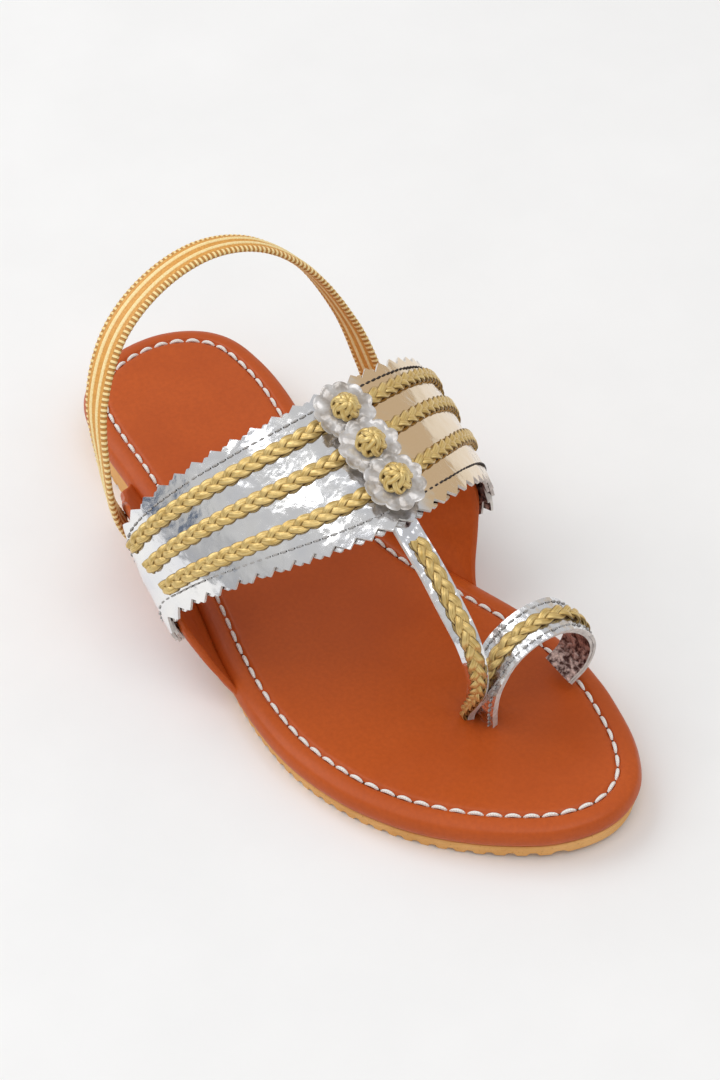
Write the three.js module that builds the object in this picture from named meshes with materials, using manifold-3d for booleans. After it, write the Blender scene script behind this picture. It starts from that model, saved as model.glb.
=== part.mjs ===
// Kolhapuri toe-loop sandal, right shoe. Millimetres: X from the heel's back edge to the toe,
// Y towards the medial side, Z up from the floor.
import * as THREE from "three";
import { mergeVertices } from "three/addons/utils/BufferGeometryUtils.js";
import Module from "manifold-3d";

const wasm = await Module();
wasm.setup();

// Driving sizes
const SOLE_LENGTH = 245.4;
const BALL_WIDTH = 90.7;
const CLEAR = 0.3;

const OUTSOLE = { forefoot: 4.5, heel: 10, inset: 1, lip: 0.8, arch: 1.4, toeSpring: 2.2 };
const RIB = { pitch: 4.2, depth: 1, foot: 2.3, root: 1.3 };
const FOOTBED = { thickness: 7.2, seamInset: 6.8, seamDepth: 0.9 };

const WING = { wall: 2.6, height: 36, tuck: 3, belly: 1.6, stand: 0.6 };
const BAND = {
  wall: 2.2,
  rearRise: 76,
  frontRise: 63.5,
  fullness: 0.78,
  tabFoot: 0.6,
  tabTaper: 0.8,
  tabClear: 0.6,
};
const PINKING = { depth: 2.6, pitch: 6.4 };
const BRAID = { width: 4.8, base: 1.2, strand: 0.9, seat: 0.6 };
const ROSETTE = { diameter: 18, wall: 1.2, scallops: 11, scallopDepth: 1, tilt: 6 };
const KNOT = { diameter: 9.6, height: 6.2, lobes: 6 };

const THONG = { width: 7.5, wall: 2, rise: 60 };
const LOOP = { width: 11.6, wall: 2, height: 32.5, span: 31.8 };
const SLOT = { at: 0.786, out: 0.09, margin: 0.4, through: 6 };
const HEEL_STRAP = { width: 10.6, wall: 1.6, rib: 0.5, ribWidth: 1.6, height: 79.5, tail: 9, seat: 1.1 };
// Where the heel strap's feet and crown are, as shares of the sole's length and of the ball width.
const STRAP_PLACE = { lateral: 0.342, medial: 0.35, lead: 0.007, crown: 0.243, crownOut: 0.103 };
const STRAP_FULLNESS = { lateral: 0.72, medial: 0.88 };

// Sole outline: at is a share of the length, lateral and medial are shares of the ball width.
const OUTLINE = [
  { at: 0, lateral: 0.19, medial: 0.19 },
  { at: 0.008, lateral: 0.06, medial: 0.32 },
  { at: 0.041, lateral: -0.068, medial: 0.452 },
  { at: 0.082, lateral: -0.128, medial: 0.508 },
  { at: 0.143, lateral: -0.166, medial: 0.516 },
  { at: 0.204, lateral: -0.192, medial: 0.494 },
  { at: 0.285, lateral: -0.235, medial: 0.44 },
  { at: 0.367, lateral: -0.288, medial: 0.395 },
  { at: 0.448, lateral: -0.352, medial: 0.381 },
  { at: 0.53, lateral: -0.421, medial: 0.397 },
  { at: 0.611, lateral: -0.47, medial: 0.444 },
  { at: 0.693, lateral: -0.485, medial: 0.49 },
  { at: 0.774, lateral: -0.449, medial: 0.504 },
  { at: 0.835, lateral: -0.384, medial: 0.484 },
  { at: 0.876, lateral: -0.318, medial: 0.454 },
  { at: 0.917, lateral: -0.232, medial: 0.414 },
  { at: 0.949, lateral: -0.147, medial: 0.366 },
  { at: 0.978, lateral: -0.05, medial: 0.3 },
  { at: 0.994, lateral: 0.045, medial: 0.225 },
  { at: 1, lateral: 0.138, medial: 0.138 },
];

// Top line of each wing: flare out from the sole's edge as a share of the ball width, rise above the
// footbed as a share of the wing height.
const WING_RIM = {
  lateral: [
    { at: 0.179, flare: 0.02, rise: -0.02 },
    { at: 0.236, flare: 0.066, rise: 0.153 },
    { at: 0.285, flare: 0.099, rise: 0.347 },
    { at: 0.326, flare: 0.137, rise: 0.625 },
    { at: 0.375, flare: 0.159, rise: 0.944 },
    { at: 0.44, flare: 0.151, rise: 0.767 },
    { at: 0.501, flare: 0.116, rise: 0.528 },
    { at: 0.562, flare: 0.055, rise: 0.153 },
    { at: 0.599, flare: 0.018, rise: -0.02 },
  ],
  medial: [
    { at: 0.212, flare: 0.02, rise: -0.02 },
    { at: 0.261, flare: 0.068, rise: 0.22 },
    { at: 0.346, flare: 0.162, rise: 0.583 },
    { at: 0.399, flare: 0.207, rise: 0.88 },
    { at: 0.432, flare: 0.224, rise: 1 },
    { at: 0.505, flare: 0.202, rise: 0.778 },
    { at: 0.566, flare: 0.154, rise: 0.5 },
    { at: 0.615, flare: 0.066, rise: 0.18 },
    { at: 0.642, flare: 0.018, rise: -0.02 },
  ],
};

// The band's rear and front edges: places of the two folds along the sole, and of the crest.
const BAND_EDGE = {
  rear: { lateral: 0.402, medial: 0.431, crest: 0.513, crestOut: 0.083 },
  front: { lateral: 0.497, medial: 0.564, crest: 0.681, crestOut: 0.044 },
};
// Each braid's place between the band's rear and front edge at its lateral end, crest and medial end,
// and the place of the rosette on its crest
const BRAID_ROWS = [
  { name: "rear", lateral: 0.21, crest: 0.17, medial: 0.11, rosette: 0.185 },
  { name: "mid", lateral: 0.51, crest: 0.43, medial: 0.38, rosette: 0.49 },
  { name: "front", lateral: 0.79, crest: 0.75, medial: 0.67, rosette: 0.795 },
];
const BRAID_ENDS = { lateral: 0.155, medial: 0.845 };

// Thong strap, from under the band to the slot: at and out follow the sole, up the thong's rise,
// turn in degrees from lying across the foot to standing along it.
const THONG_ROUTE = [
  { at: 0.66, out: 0.026, up: 1.075, turn: 0, wide: 1 },
  { at: 0.695, out: 0.02, up: 0.985, turn: 0, wide: 1 },
  { at: 0.735, out: 0.011, up: 0.9, turn: 4, wide: 1 },
  { at: 0.768, out: 0.006, up: 0.79, turn: 10, wide: 1 },
  { at: 0.796, out: 0.008, up: 0.66, turn: 20, wide: 0.95 },
  { at: 0.808, out: 0.018, up: 0.51, turn: 36, wide: 0.86 },
  { at: 0.806, out: 0.034, up: 0.34, turn: 64, wide: 0.74 },
  { at: 0.791, out: 0.052, up: 0.17, turn: 96, wide: 0.62 },
  { at: 0.775, out: 0.063, up: 0.02, turn: 114, wide: 0.58 },
  { at: 0.772, out: 0.064, up: -0.112, turn: 115, wide: 0.58 },
];

// Toe loop, from the slot over the toe and under to its free end: out is a share of the loop's span,
// up of its height, tip the forward lean of the strip in degrees.
const LOOP_ROUTE = [
  { at: 0.785, out: 0, up: -0.207, tip: 0, wide: 1 },
  { at: 0.786, out: 0, up: 0, tip: 0, wide: 1 },
  { at: 0.795, out: -0.05, up: 0.28, tip: 0, wide: 1 },
  { at: 0.802, out: -0.03, up: 0.6, tip: 6, wide: 1 },
  { at: 0.807, out: 0.13, up: 0.89, tip: 13, wide: 1 },
  { at: 0.809, out: 0.4, up: 1, tip: 19, wide: 1 },
  { at: 0.81, out: 0.71, up: 0.95, tip: 20, wide: 1 },
  { at: 0.809, out: 0.93, up: 0.73, tip: 14, wide: 1 },
  { at: 0.807, out: 1.01, up: 0.47, tip: 6, wide: 1 },
  { at: 0.804, out: 0.94, up: 0.24, tip: 0, wide: 1 },
  { at: 0.802, out: 0.79, up: 0.13, tip: 0, wide: 1 },
];

const COLOURS = {
  leather: { color: 0xc0572a, roughness: 0.45, metalness: 0 },
  rubber: { color: 0xe6ab63, roughness: 0.75, metalness: 0 },
  silver: { color: 0xd2d2d6, roughness: 0.22, metalness: 0.9 },
  gold: { color: 0xc9a348, roughness: 0.4, metalness: 0.7 },
  elastic: { color: 0xdda24f, roughness: 0.6, metalness: 0.1 },
};

const OUTLINE_STEPS = 32;
const WING_STEPS = 18;
const THONG_STEPS = 22;
const LOOP_STEPS = 28;
const STRAP_STEPS = 26;
const DEGREE = Math.PI / 180;

const point = (x, y, z) => new THREE.Vector3(x, y, z);
const mix = (a, b, t) => a + (b - a) * t;
const clamp01 = (t) => Math.min(1, Math.max(0, t));
const smooth = (a, b, x) => {
  const t = clamp01((x - a) / (b - a));
  return t * t * (3 - 2 * t);
};

// Smooth curve through a table's rows, by the slope of the neighbours of each row.
function follow(knots, value, t) {
  const last = knots.length - 1;
  let i = 0;
  while (i < last - 1 && t > knots[i + 1].t) i += 1;
  const slope = (k) => {
    const a = knots[Math.max(0, k - 1)];
    const b = knots[Math.min(last, k + 1)];
    return (b[value] - a[value]) / (b.t - a.t);
  };
  const from = knots[i];
  const to = knots[i + 1];
  const span = to.t - from.t;
  const s = (t - from.t) / span;
  const h1 = s * s * (3 - 2 * s);
  const h2 = s * (1 - s) * (1 - s) * span;
  const h3 = s * s * (s - 1) * span;
  return from[value] * (1 - h1) + to[value] * h1 + slope(i) * h2 + slope(i + 1) * h3;
}

const tableKnots = (rows) => rows.map((row) => ({ ...row, t: row.at }));

// The outline as one closed curve of a turn angle: 0 at the heel, half a turn at the toe, lateral first.
const turnOf = (at) => Math.acos(1 - 2 * at);
const outlineKnots = [
  ...OUTLINE.map((row) => ({ t: turnOf(row.at), y: row.lateral })),
  ...OUTLINE.slice(0, -1).reverse().map((row) => ({ t: 2 * Math.PI - turnOf(row.at), y: row.medial })),
];
const wrapped = [
  ...outlineKnots.slice(-3, -1).map((k) => ({ t: k.t - 2 * Math.PI, y: k.y })),
  ...outlineKnots,
  ...outlineKnots.slice(1, 3).map((k) => ({ t: k.t + 2 * Math.PI, y: k.y })),
];

function outlinePoint(turn) {
  return point(
    (SOLE_LENGTH / 2) * (1 - Math.cos(turn)),
    BALL_WIDTH * follow(wrapped, "y", turn),
    0,
  );
}

function outlineOutward(turn) {
  const step = 0.01;
  const along = outlinePoint(turn + step).sub(outlinePoint(turn - step));
  return point(along.y, -along.x, 0).normalize();
}

const edgeY = (side, x) => {
  const turn = turnOf(clamp01(x / SOLE_LENGTH));
  return outlinePoint(side > 0 ? 2 * Math.PI - turn : turn).y;
};

// Heights of the sole along its length
const toeLift = (x) => OUTSOLE.toeSpring * Math.max(0, (x / SOLE_LENGTH - 0.84) / 0.16) ** 2;
const outsoleTop = (x) => {
  const share = x / SOLE_LENGTH;
  return mix(OUTSOLE.heel, OUTSOLE.forefoot, smooth(0.27, 0.52, share)) + toeLift(x);
};
const outsoleBottom = (x) => {
  const share = x / SOLE_LENGTH;
  return OUTSOLE.arch * smooth(0.28, 0.36, share) * (1 - smooth(0.46, 0.56, share)) + toeLift(x);
};
const footbedTop = (x) => outsoleTop(x) + CLEAR + FOOTBED.thickness;

// Solids from rings of points
function solidMesh(vertices, triangles) {
  let volume = 0;
  for (const [a, b, c] of triangles) {
    volume += vertices[a].dot(vertices[b].clone().cross(vertices[c]));
  }
  const flat = triangles.flatMap(([a, b, c]) => (volume < 0 ? [a, c, b] : [a, b, c]));
  const geometry = new THREE.BufferGeometry();
  geometry.setAttribute(
    "position",
    new THREE.Float32BufferAttribute(vertices.flatMap((v) => [v.x, v.y, v.z]), 3),
  );
  geometry.setIndex(flat);
  return geometry;
}

// Rings of equal count, closed at both ends. The end caps join each point of a ring to its partner
// across it: pairing 0 where point 0 is a tip, -1 where the first and last points face each other.
function loft(rings, pairing) {
  const count = rings[0].length;
  const triangles = [];
  for (let r = 0; r + 1 < rings.length; r += 1) {
    for (let i = 0; i < count; i += 1) {
      const a = r * count + i;
      const b = r * count + ((i + 1) % count);
      triangles.push([a, b, b + count], [a, b + count, a + count]);
    }
  }
  const lastRing = (rings.length - 1) * count;
  for (let i = 0; i + 1 <= count + pairing - (i + 1); i += 1) {
    const across = (k) => (count + pairing - k) % count;
    const b = i + 1;
    const c = across(b);
    const d = across(i);
    if (b !== c) {
      triangles.push([c, b, i], [lastRing + i, lastRing + b, lastRing + c]);
    }
    if (i !== d) {
      triangles.push([d, c, i], [lastRing + i, lastRing + c, lastRing + d]);
    }
  }
  return solidMesh(rings.flat(), triangles);
}

function toManifold(geometry) {
  const bare = new THREE.BufferGeometry();
  bare.setAttribute("position", geometry.getAttribute("position"));
  bare.setIndex(geometry.index);
  const merged = mergeVertices(bare, 1e-3);
  return new wasm.Manifold(
    new wasm.Mesh({
      numProp: 3,
      vertProperties: new Float32Array(merged.attributes.position.array),
      triVerts: new Uint32Array(merged.index.array),
    }),
  );
}

function toGeometry(solid) {
  const made = solid.getMesh();
  const geometry = new THREE.BufferGeometry();
  geometry.setAttribute("position", new THREE.Float32BufferAttribute(made.vertProperties, 3));
  geometry.setIndex(new THREE.Uint32BufferAttribute(made.triVerts, 1));
  return geometry;
}

// Sole
function soleRings(profile) {
  return profile.map(({ inset, height }) => {
    const ring = [];
    for (let i = 0; i < 2 * OUTLINE_STEPS; i += 1) {
      const turn = (Math.PI * i) / OUTLINE_STEPS;
      const p = outlinePoint(turn).addScaledVector(outlineOutward(turn), -inset);
      p.z = height(p.x);
      ring.push(p);
    }
    return ring;
  });
}

function outsole() {
  const { inset, lip } = OUTSOLE;
  const body = loft(
    soleRings([
      { inset: inset + lip, height: outsoleBottom },
      { inset: inset + lip / 2, height: (x) => mix(outsoleBottom(x), outsoleTop(x), 0.35) },
      { inset, height: (x) => outsoleTop(x) - lip },
      { inset: inset + lip, height: outsoleTop },
    ]),
    0,
  );
  let solid = toManifold(body);
  const grooves = [];
  const first = RIB.pitch;
  for (let x = first; x < SOLE_LENGTH - RIB.pitch; x += RIB.pitch) {
    grooves.push(ribGroove(x));
  }
  for (const groove of grooves) solid = solid.subtract(toManifold(groove));
  return toGeometry(solid);
}

// A groove across the underside, between two ribs, with slanting walls.
function ribGroove(x) {
  const floor = outsoleBottom(x);
  const half = (y) => [
    point(x - RIB.foot / 2, y, floor - 1),
    point(x - RIB.foot / 2, y, outsoleBottom(x - RIB.foot / 2)),
    point(x - RIB.root / 2, y, floor + RIB.depth),
    point(x + RIB.root / 2, y, floor + RIB.depth),
    point(x + RIB.foot / 2, y, outsoleBottom(x + RIB.foot / 2)),
    point(x + RIB.foot / 2, y, floor - 1),
  ];
  return loft([half(-BALL_WIDTH), half(BALL_WIDTH)], -1);
}

function footbedBody() {
  const t = FOOTBED.thickness;
  const at = (share) => (x) => outsoleTop(x) + CLEAR + t * share;
  const seam = FOOTBED.seamInset;
  return loft(
    soleRings([
      { inset: 1.6, height: at(0) },
      { inset: 0.3, height: at(0.2) },
      { inset: 0, height: at(0.44) },
      { inset: 0.7, height: at(0.76) },
      { inset: seam * 0.45, height: at(0.96) },
      { inset: seam, height: (x) => at(1)(x) - FOOTBED.seamDepth },
      { inset: seam + 2.6, height: at(1) },
      { inset: seam + 14, height: at(0.97) },
    ]),
    0,
  );
}

// Wings: a section at x runs from the tuck under the footbed, out and up to the rim.
function wingSection(side, x, grow) {
  const rows = tableKnots(side > 0 ? WING_RIM.medial : WING_RIM.lateral);
  const share = x / SOLE_LENGTH;
  const edge = edgeY(side, x);
  const seat = outsoleTop(x) + CLEAR + WING.wall / 2;
  const flare = BALL_WIDTH * follow(rows, "flare", share);
  const rise = WING.height * follow(rows, "rise", share);
  const low = point(x, edge + side * Math.min(WING.stand, flare + 0.4), seat + 2.8);
  const rim = point(x, edge + side * flare, footbedTop(x) + rise);
  const out = point(0, side, -(rim.y - low.y) * side / Math.max(1, rim.z - low.z)).normalize();
  const wall = [0.34, 0.67].map((h) =>
    low.clone().lerp(rim, h).addScaledVector(out, WING.belly * Math.sin(Math.PI * h) * (rise / WING.height)),
  );
  const up = rim.clone().sub(wall[1]).normalize();
  rim.addScaledVector(up, grow);
  return [
    point(x, edge - side * (WING.tuck + grow), seat),
    point(x, edge + side * 0.5, seat + 0.2),
    low,
    ...wall,
    rim,
  ];
}

// At a wing's rim: the direction up its wall, and the one out of its outer face
function rimDirections(side, section) {
  const up = section[5].clone().sub(section[4]).normalize();
  return { up, out: point(0, side * up.z, -side * up.y) };
}

// Both faces of a section, half a wall each way from its centre line.
function thicken(section, wall) {
  const faces = [[], []];
  section.forEach((p, i) => {
    const a = section[Math.max(0, i - 1)];
    const b = section[Math.min(section.length - 1, i + 1)];
    const along = b.clone().sub(a).normalize();
    const normal = point(0, along.z, -along.y).normalize();
    faces[0].push(p.clone().addScaledVector(normal, wall / 2));
    faces[1].push(p.clone().addScaledVector(normal, -wall / 2));
  });
  return [...faces[0], ...faces[1].reverse()];
}

function wing(side, grow) {
  const rows = side > 0 ? WING_RIM.medial : WING_RIM.lateral;
  const from = rows[0].at * SOLE_LENGTH - grow;
  const to = rows[rows.length - 1].at * SOLE_LENGTH + grow;
  const rings = [];
  for (let i = 0; i <= WING_STEPS; i += 1) {
    rings.push(thicken(wingSection(side, mix(from, to, i / WING_STEPS), grow), WING.wall + 2 * grow));
  }
  return loft(rings, -1);
}

// Band: one curve across the foot for each share v from its rear edge to its front edge.
const bandCurves = new Map();
function bandCurve(v) {
  if (bandCurves.has(v)) return bandCurves.get(v);
  const { rear, front } = BAND_EDGE;
  const offset = WING.wall / 2 + CLEAR + BAND.wall / 2 + BAND.tabClear;
  const sideRun = (side, key) => {
    const foldX = SOLE_LENGTH * mix(rear[key], front[key], v);
    const middleX = (SOLE_LENGTH * (rear[key] + front[key])) / 2;
    const railPoint = (down, place) => {
      const section = wingSection(side, mix(foldX, middleX, BAND.tabTaper * down), 0);
      return place(section).addScaledVector(rimDirections(side, section).out, offset);
    };
    const section = wingSection(side, foldX, 0);
    const { up, out } = rimDirections(side, section);
    const rail = [
      railPoint(1, (part) => part[2].clone().lerp(part[3], BAND.tabFoot)),
      railPoint(0.7, (part) => part[3].clone()),
      railPoint(0.25, (part) => part[4].clone()),
      section[5].clone().addScaledVector(up, -1).addScaledVector(out, offset),
    ];
    const fold = section[5].clone().addScaledVector(up, offset * 0.9).addScaledVector(out, offset * 0.5);
    return { rail, fold };
  };
  const lateral = sideRun(-1, "lateral");
  const medial = sideRun(1, "medial");
  const crest = point(
    SOLE_LENGTH * mix(rear.crest, front.crest, v),
    BALL_WIDTH * mix(rear.crestOut, front.crestOut, v),
    0,
  );
  crest.z = footbedTop(crest.x) + mix(BAND.rearRise, BAND.frontRise, v);
  const arch = [-0.93, -0.78, -0.56, -0.3, 0, 0.3, 0.56, 0.78, 0.93].map((k) => {
    const fold = k < 0 ? lateral.fold : medial.fold;
    const reach = Math.abs(k);
    return point(
      mix(crest.x, fold.x, reach ** 1.9),
      mix(crest.y, fold.y, reach),
      mix(fold.z, crest.z, (1 - reach * reach) ** BAND.fullness),
    );
  });
  const run = [...lateral.rail, lateral.fold, ...arch, medial.fold, ...medial.rail.reverse()];
  const curve = new THREE.CatmullRomCurve3(run, false, "centripetal");
  curve.arcLengthDivisions = 400;
  bandCurves.set(v, curve);
  return curve;
}

const bandMiddle = (u, v) => bandCurve(v).getPointAt(clamp01(u));

function bandNormal(u, v) {
  const du = bandMiddle(u + 0.004, v).sub(bandMiddle(u - 0.004, v));
  const dv = bandMiddle(u, Math.min(1, v + 0.1)).sub(bandMiddle(u, Math.max(0, v - 0.1)));
  return dv.cross(du).normalize();
}

const bandPoint = (u, v, lift) => bandMiddle(u, v).addScaledVector(bandNormal(u, v), lift);

const bandRunLength = bandCurve(0.5).getLength();
const BAND_STEPS = 2 * Math.round(bandRunLength / PINKING.pitch);
const BAND_LINES = [0, 0.09, 0.36, 0.64, 0.91, 1];

function band() {
  const rings = [];
  for (let i = 0; i <= BAND_STEPS; i += 1) {
    const u = i / BAND_STEPS;
    const tooth = i % 2 === 0 ? 0 : PINKING.depth;
    const outward = bandMiddle(u, 1).sub(bandMiddle(u, 0.91)).normalize();
    const backward = bandMiddle(u, 0).sub(bandMiddle(u, 0.09)).normalize();
    const face = (lift) =>
      BAND_LINES.map((v) => {
        const p = bandPoint(u, v, lift);
        if (v === 0) p.addScaledVector(backward, tooth);
        if (v === 1) p.addScaledVector(outward, tooth);
        return p;
      });
    rings.push([...face(BAND.wall / 2), ...face(-BAND.wall / 2).reverse()]);
  }
  return loft(rings, -1);
}

// A flat strip along stations, each with its centre, across and normal directions and width.
function strip(stations, profile) {
  return loft(
    stations.map(({ centre, across, normal, width }) =>
      profile.map(([a, b]) =>
        centre.clone().addScaledVector(across, a * width).addScaledVector(normal, b),
      ),
    ),
    -1,
  );
}

const plainProfile = (wall) => [
  [-0.5, wall / 2],
  [0.5, wall / 2],
  [0.5, -wall / 2],
  [-0.5, -wall / 2],
];

// Stations along a smooth route through placed rows
function stationsOn(points, steps, directions) {
  const curve = new THREE.CatmullRomCurve3(points, false, "centripetal");
  const stations = [];
  for (let i = 0; i <= steps; i += 1) {
    const t = i / steps;
    const along = curve.getTangent(t);
    stations.push({ t, centre: curve.getPoint(t), along, ...directions(t, along) });
  }
  return stations;
}

const rowValue = (rows, key, t) =>
  follow(rows.map((row, i) => ({ t: i / (rows.length - 1), v: row[key] })), "v", t);

const slotPlace = () => point(SLOT.at * SOLE_LENGTH, SLOT.out * BALL_WIDTH, 0);

function thongStations(steps, grow = 0) {
  const ground = footbedTop(slotPlace().x);
  const points = THONG_ROUTE.map((row) =>
    point(row.at * SOLE_LENGTH, row.out * BALL_WIDTH, ground + row.up * THONG.rise),
  );
  return stationsOn(points, steps, (t, along) => {
    const turn = rowValue(THONG_ROUTE, "turn", t) * DEGREE;
    const across = point(Math.sin(turn), Math.cos(turn), 0);
    across.addScaledVector(along, -across.dot(along)).normalize();
    const normal = along.clone().cross(across);
    return { across, normal, width: THONG.width * rowValue(THONG_ROUTE, "wide", t) + 2 * grow };
  });
}

function loopStations(steps, grow = 0) {
  const ground = footbedTop(slotPlace().x);
  const root = slotPlace().y;
  const points = LOOP_ROUTE.map((row) =>
    point(row.at * SOLE_LENGTH, root + row.out * LOOP.span, ground + row.up * LOOP.height),
  );
  return stationsOn(points, steps, (t, along) => {
    const tip = rowValue(LOOP_ROUTE, "tip", t) * DEGREE;
    const across = point(Math.cos(tip), 0, -Math.sin(tip));
    across.addScaledVector(along, -across.dot(along)).normalize();
    const normal = across.clone().cross(along);
    return { across, normal, width: LOOP.width * rowValue(LOOP_ROUTE, "wide", t) + 2 * grow };
  });
}

function upper() {
  const parts = [
    band(),
    strip(thongStations(THONG_STEPS), plainProfile(THONG.wall)),
    strip(loopStations(LOOP_STEPS), plainProfile(LOOP.wall)),
  ].map(toManifold);
  return parts.reduce((joined, piece) => joined.add(piece));
}

// A plait: the strands of its two halves rise by turns along it.
function plait(stations, lift) {
  const top = lift + BRAID.base;
  return loft(
    stations.map(({ centre, across, normal }, i) => {
      const left = i % 2 === 0 ? BRAID.strand : 0.15;
      const right = i % 2 === 0 ? 0.15 : BRAID.strand;
      const at = (a, b) =>
        centre.clone().addScaledVector(across, a * BRAID.width).addScaledVector(normal, b);
      return [
        at(-0.5, top - 0.5),
        at(-0.26, top + left),
        at(0, top + 0.1),
        at(0.26, top + right),
        at(0.5, top - 0.5),
        at(0.5, lift),
        at(0, lift),
        at(-0.5, lift),
      ];
    }),
    -1,
  );
}

// Place of a braid across the band at u: a curve through its two ends and its crest.
function braidRow(row, u) {
  const t = (2 * u - BRAID_ENDS.lateral - BRAID_ENDS.medial) / (BRAID_ENDS.medial - BRAID_ENDS.lateral);
  const slope = (row.medial - row.lateral) / 2;
  const bend = (row.medial + row.lateral) / 2 - row.crest;
  return row.crest + slope * t + bend * t * t;
}

function bandBraid(row) {
  const stations = [];
  const first = Math.ceil(BAND_STEPS * BRAID_ENDS.lateral);
  const last = Math.floor(BAND_STEPS * BRAID_ENDS.medial);
  for (let i = first; i <= last; i += 1) {
    const u = i / BAND_STEPS;
    const v = braidRow(row, u);
    const across = bandMiddle(u, v + 0.04).sub(bandMiddle(u, v - 0.04)).normalize();
    stations.push({ centre: bandMiddle(u, v), across, normal: bandNormal(u, v) });
  }
  return plait(stations, BAND.wall / 2 + BRAID.seat);
}

// Rosettes lie over the braids like shingles, each with its knot on top.
function rosetteSeat(index) {
  const v = BRAID_ROWS[index].rosette;
  const u = crestShare(v);
  const normal = bandNormal(u, v);
  const forward = bandMiddle(u, v + 0.05).sub(bandMiddle(u, v - 0.05)).normalize();
  const side = normal.clone().cross(forward).normalize();
  const tilt = ROSETTE.tilt * DEGREE;
  const leaned = normal.clone().multiplyScalar(Math.cos(tilt)).addScaledVector(forward, Math.sin(tilt));
  const basis = new THREE.Matrix4().makeBasis(leaned.clone().cross(side).negate(), side, leaned);
  const lift = BAND.wall / 2 + BRAID.seat + BRAID.base + BRAID.strand + CLEAR;
  const reach = (ROSETTE.diameter / 2) * Math.sin(tilt) * 0.3;
  const seat = bandPoint(u, v, lift + reach);
  return { seat, basis, leaned };
}

// Share of the way along the band's curve where it crosses the crest line.
function crestShare(v) {
  const target = BALL_WIDTH * mix(BAND_EDGE.rear.crestOut, BAND_EDGE.front.crestOut, v);
  let low = 0.3;
  let high = 0.7;
  for (let i = 0; i < 30; i += 1) {
    const middle = (low + high) / 2;
    if (bandMiddle(middle, v).y < target) low = middle;
    else high = middle;
  }
  return (low + high) / 2;
}

function rosette(index) {
  const { seat, basis } = rosetteSeat(index);
  const points = ROSETTE.scallops * 4;
  const ring = (share, z) => {
    const loop = [];
    for (let i = 0; i < points; i += 1) {
      const turn = (2 * Math.PI * i) / points;
      const lobe = Math.abs(Math.cos((ROSETTE.scallops * turn) / 2));
      const radius = (ROSETTE.diameter / 2 - ROSETTE.scallopDepth * (1 - lobe)) * share;
      loop.push(point(radius * Math.cos(turn), radius * Math.sin(turn), z).applyMatrix4(basis).add(seat));
    }
    return loop;
  };
  const wall = ROSETTE.wall;
  return loft([ring(0.9, 0), ring(1, wall * 0.5), ring(0.95, wall)], 0);
}

function knot(index) {
  const { seat, basis, leaned } = rosetteSeat(index);
  const base = seat.clone().addScaledVector(leaned, ROSETTE.wall + CLEAR);
  const around = KNOT.lobes * 4;
  const ring = (share, height, phase) => {
    const loop = [];
    for (let i = 0; i < around; i += 1) {
      const turn = (2 * Math.PI * i) / around;
      const lobe = 0.94 + 0.06 * Math.cos(KNOT.lobes * turn + phase);
      const radius = (KNOT.diameter / 2) * share * lobe;
      loop.push(
        point(radius * Math.cos(turn), radius * Math.sin(turn), height * KNOT.height)
          .applyMatrix4(basis)
          .add(base),
      );
    }
    return loop;
  };
  return loft(
    [
      ring(0.72, 0, 0),
      ring(0.97, 0.2, 0),
      ring(1, 0.42, Math.PI),
      ring(0.86, 0.7, 0),
      ring(0.55, 0.93, Math.PI),
      ring(0.15, 1, 0),
    ],
    0,
  );
}

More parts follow.
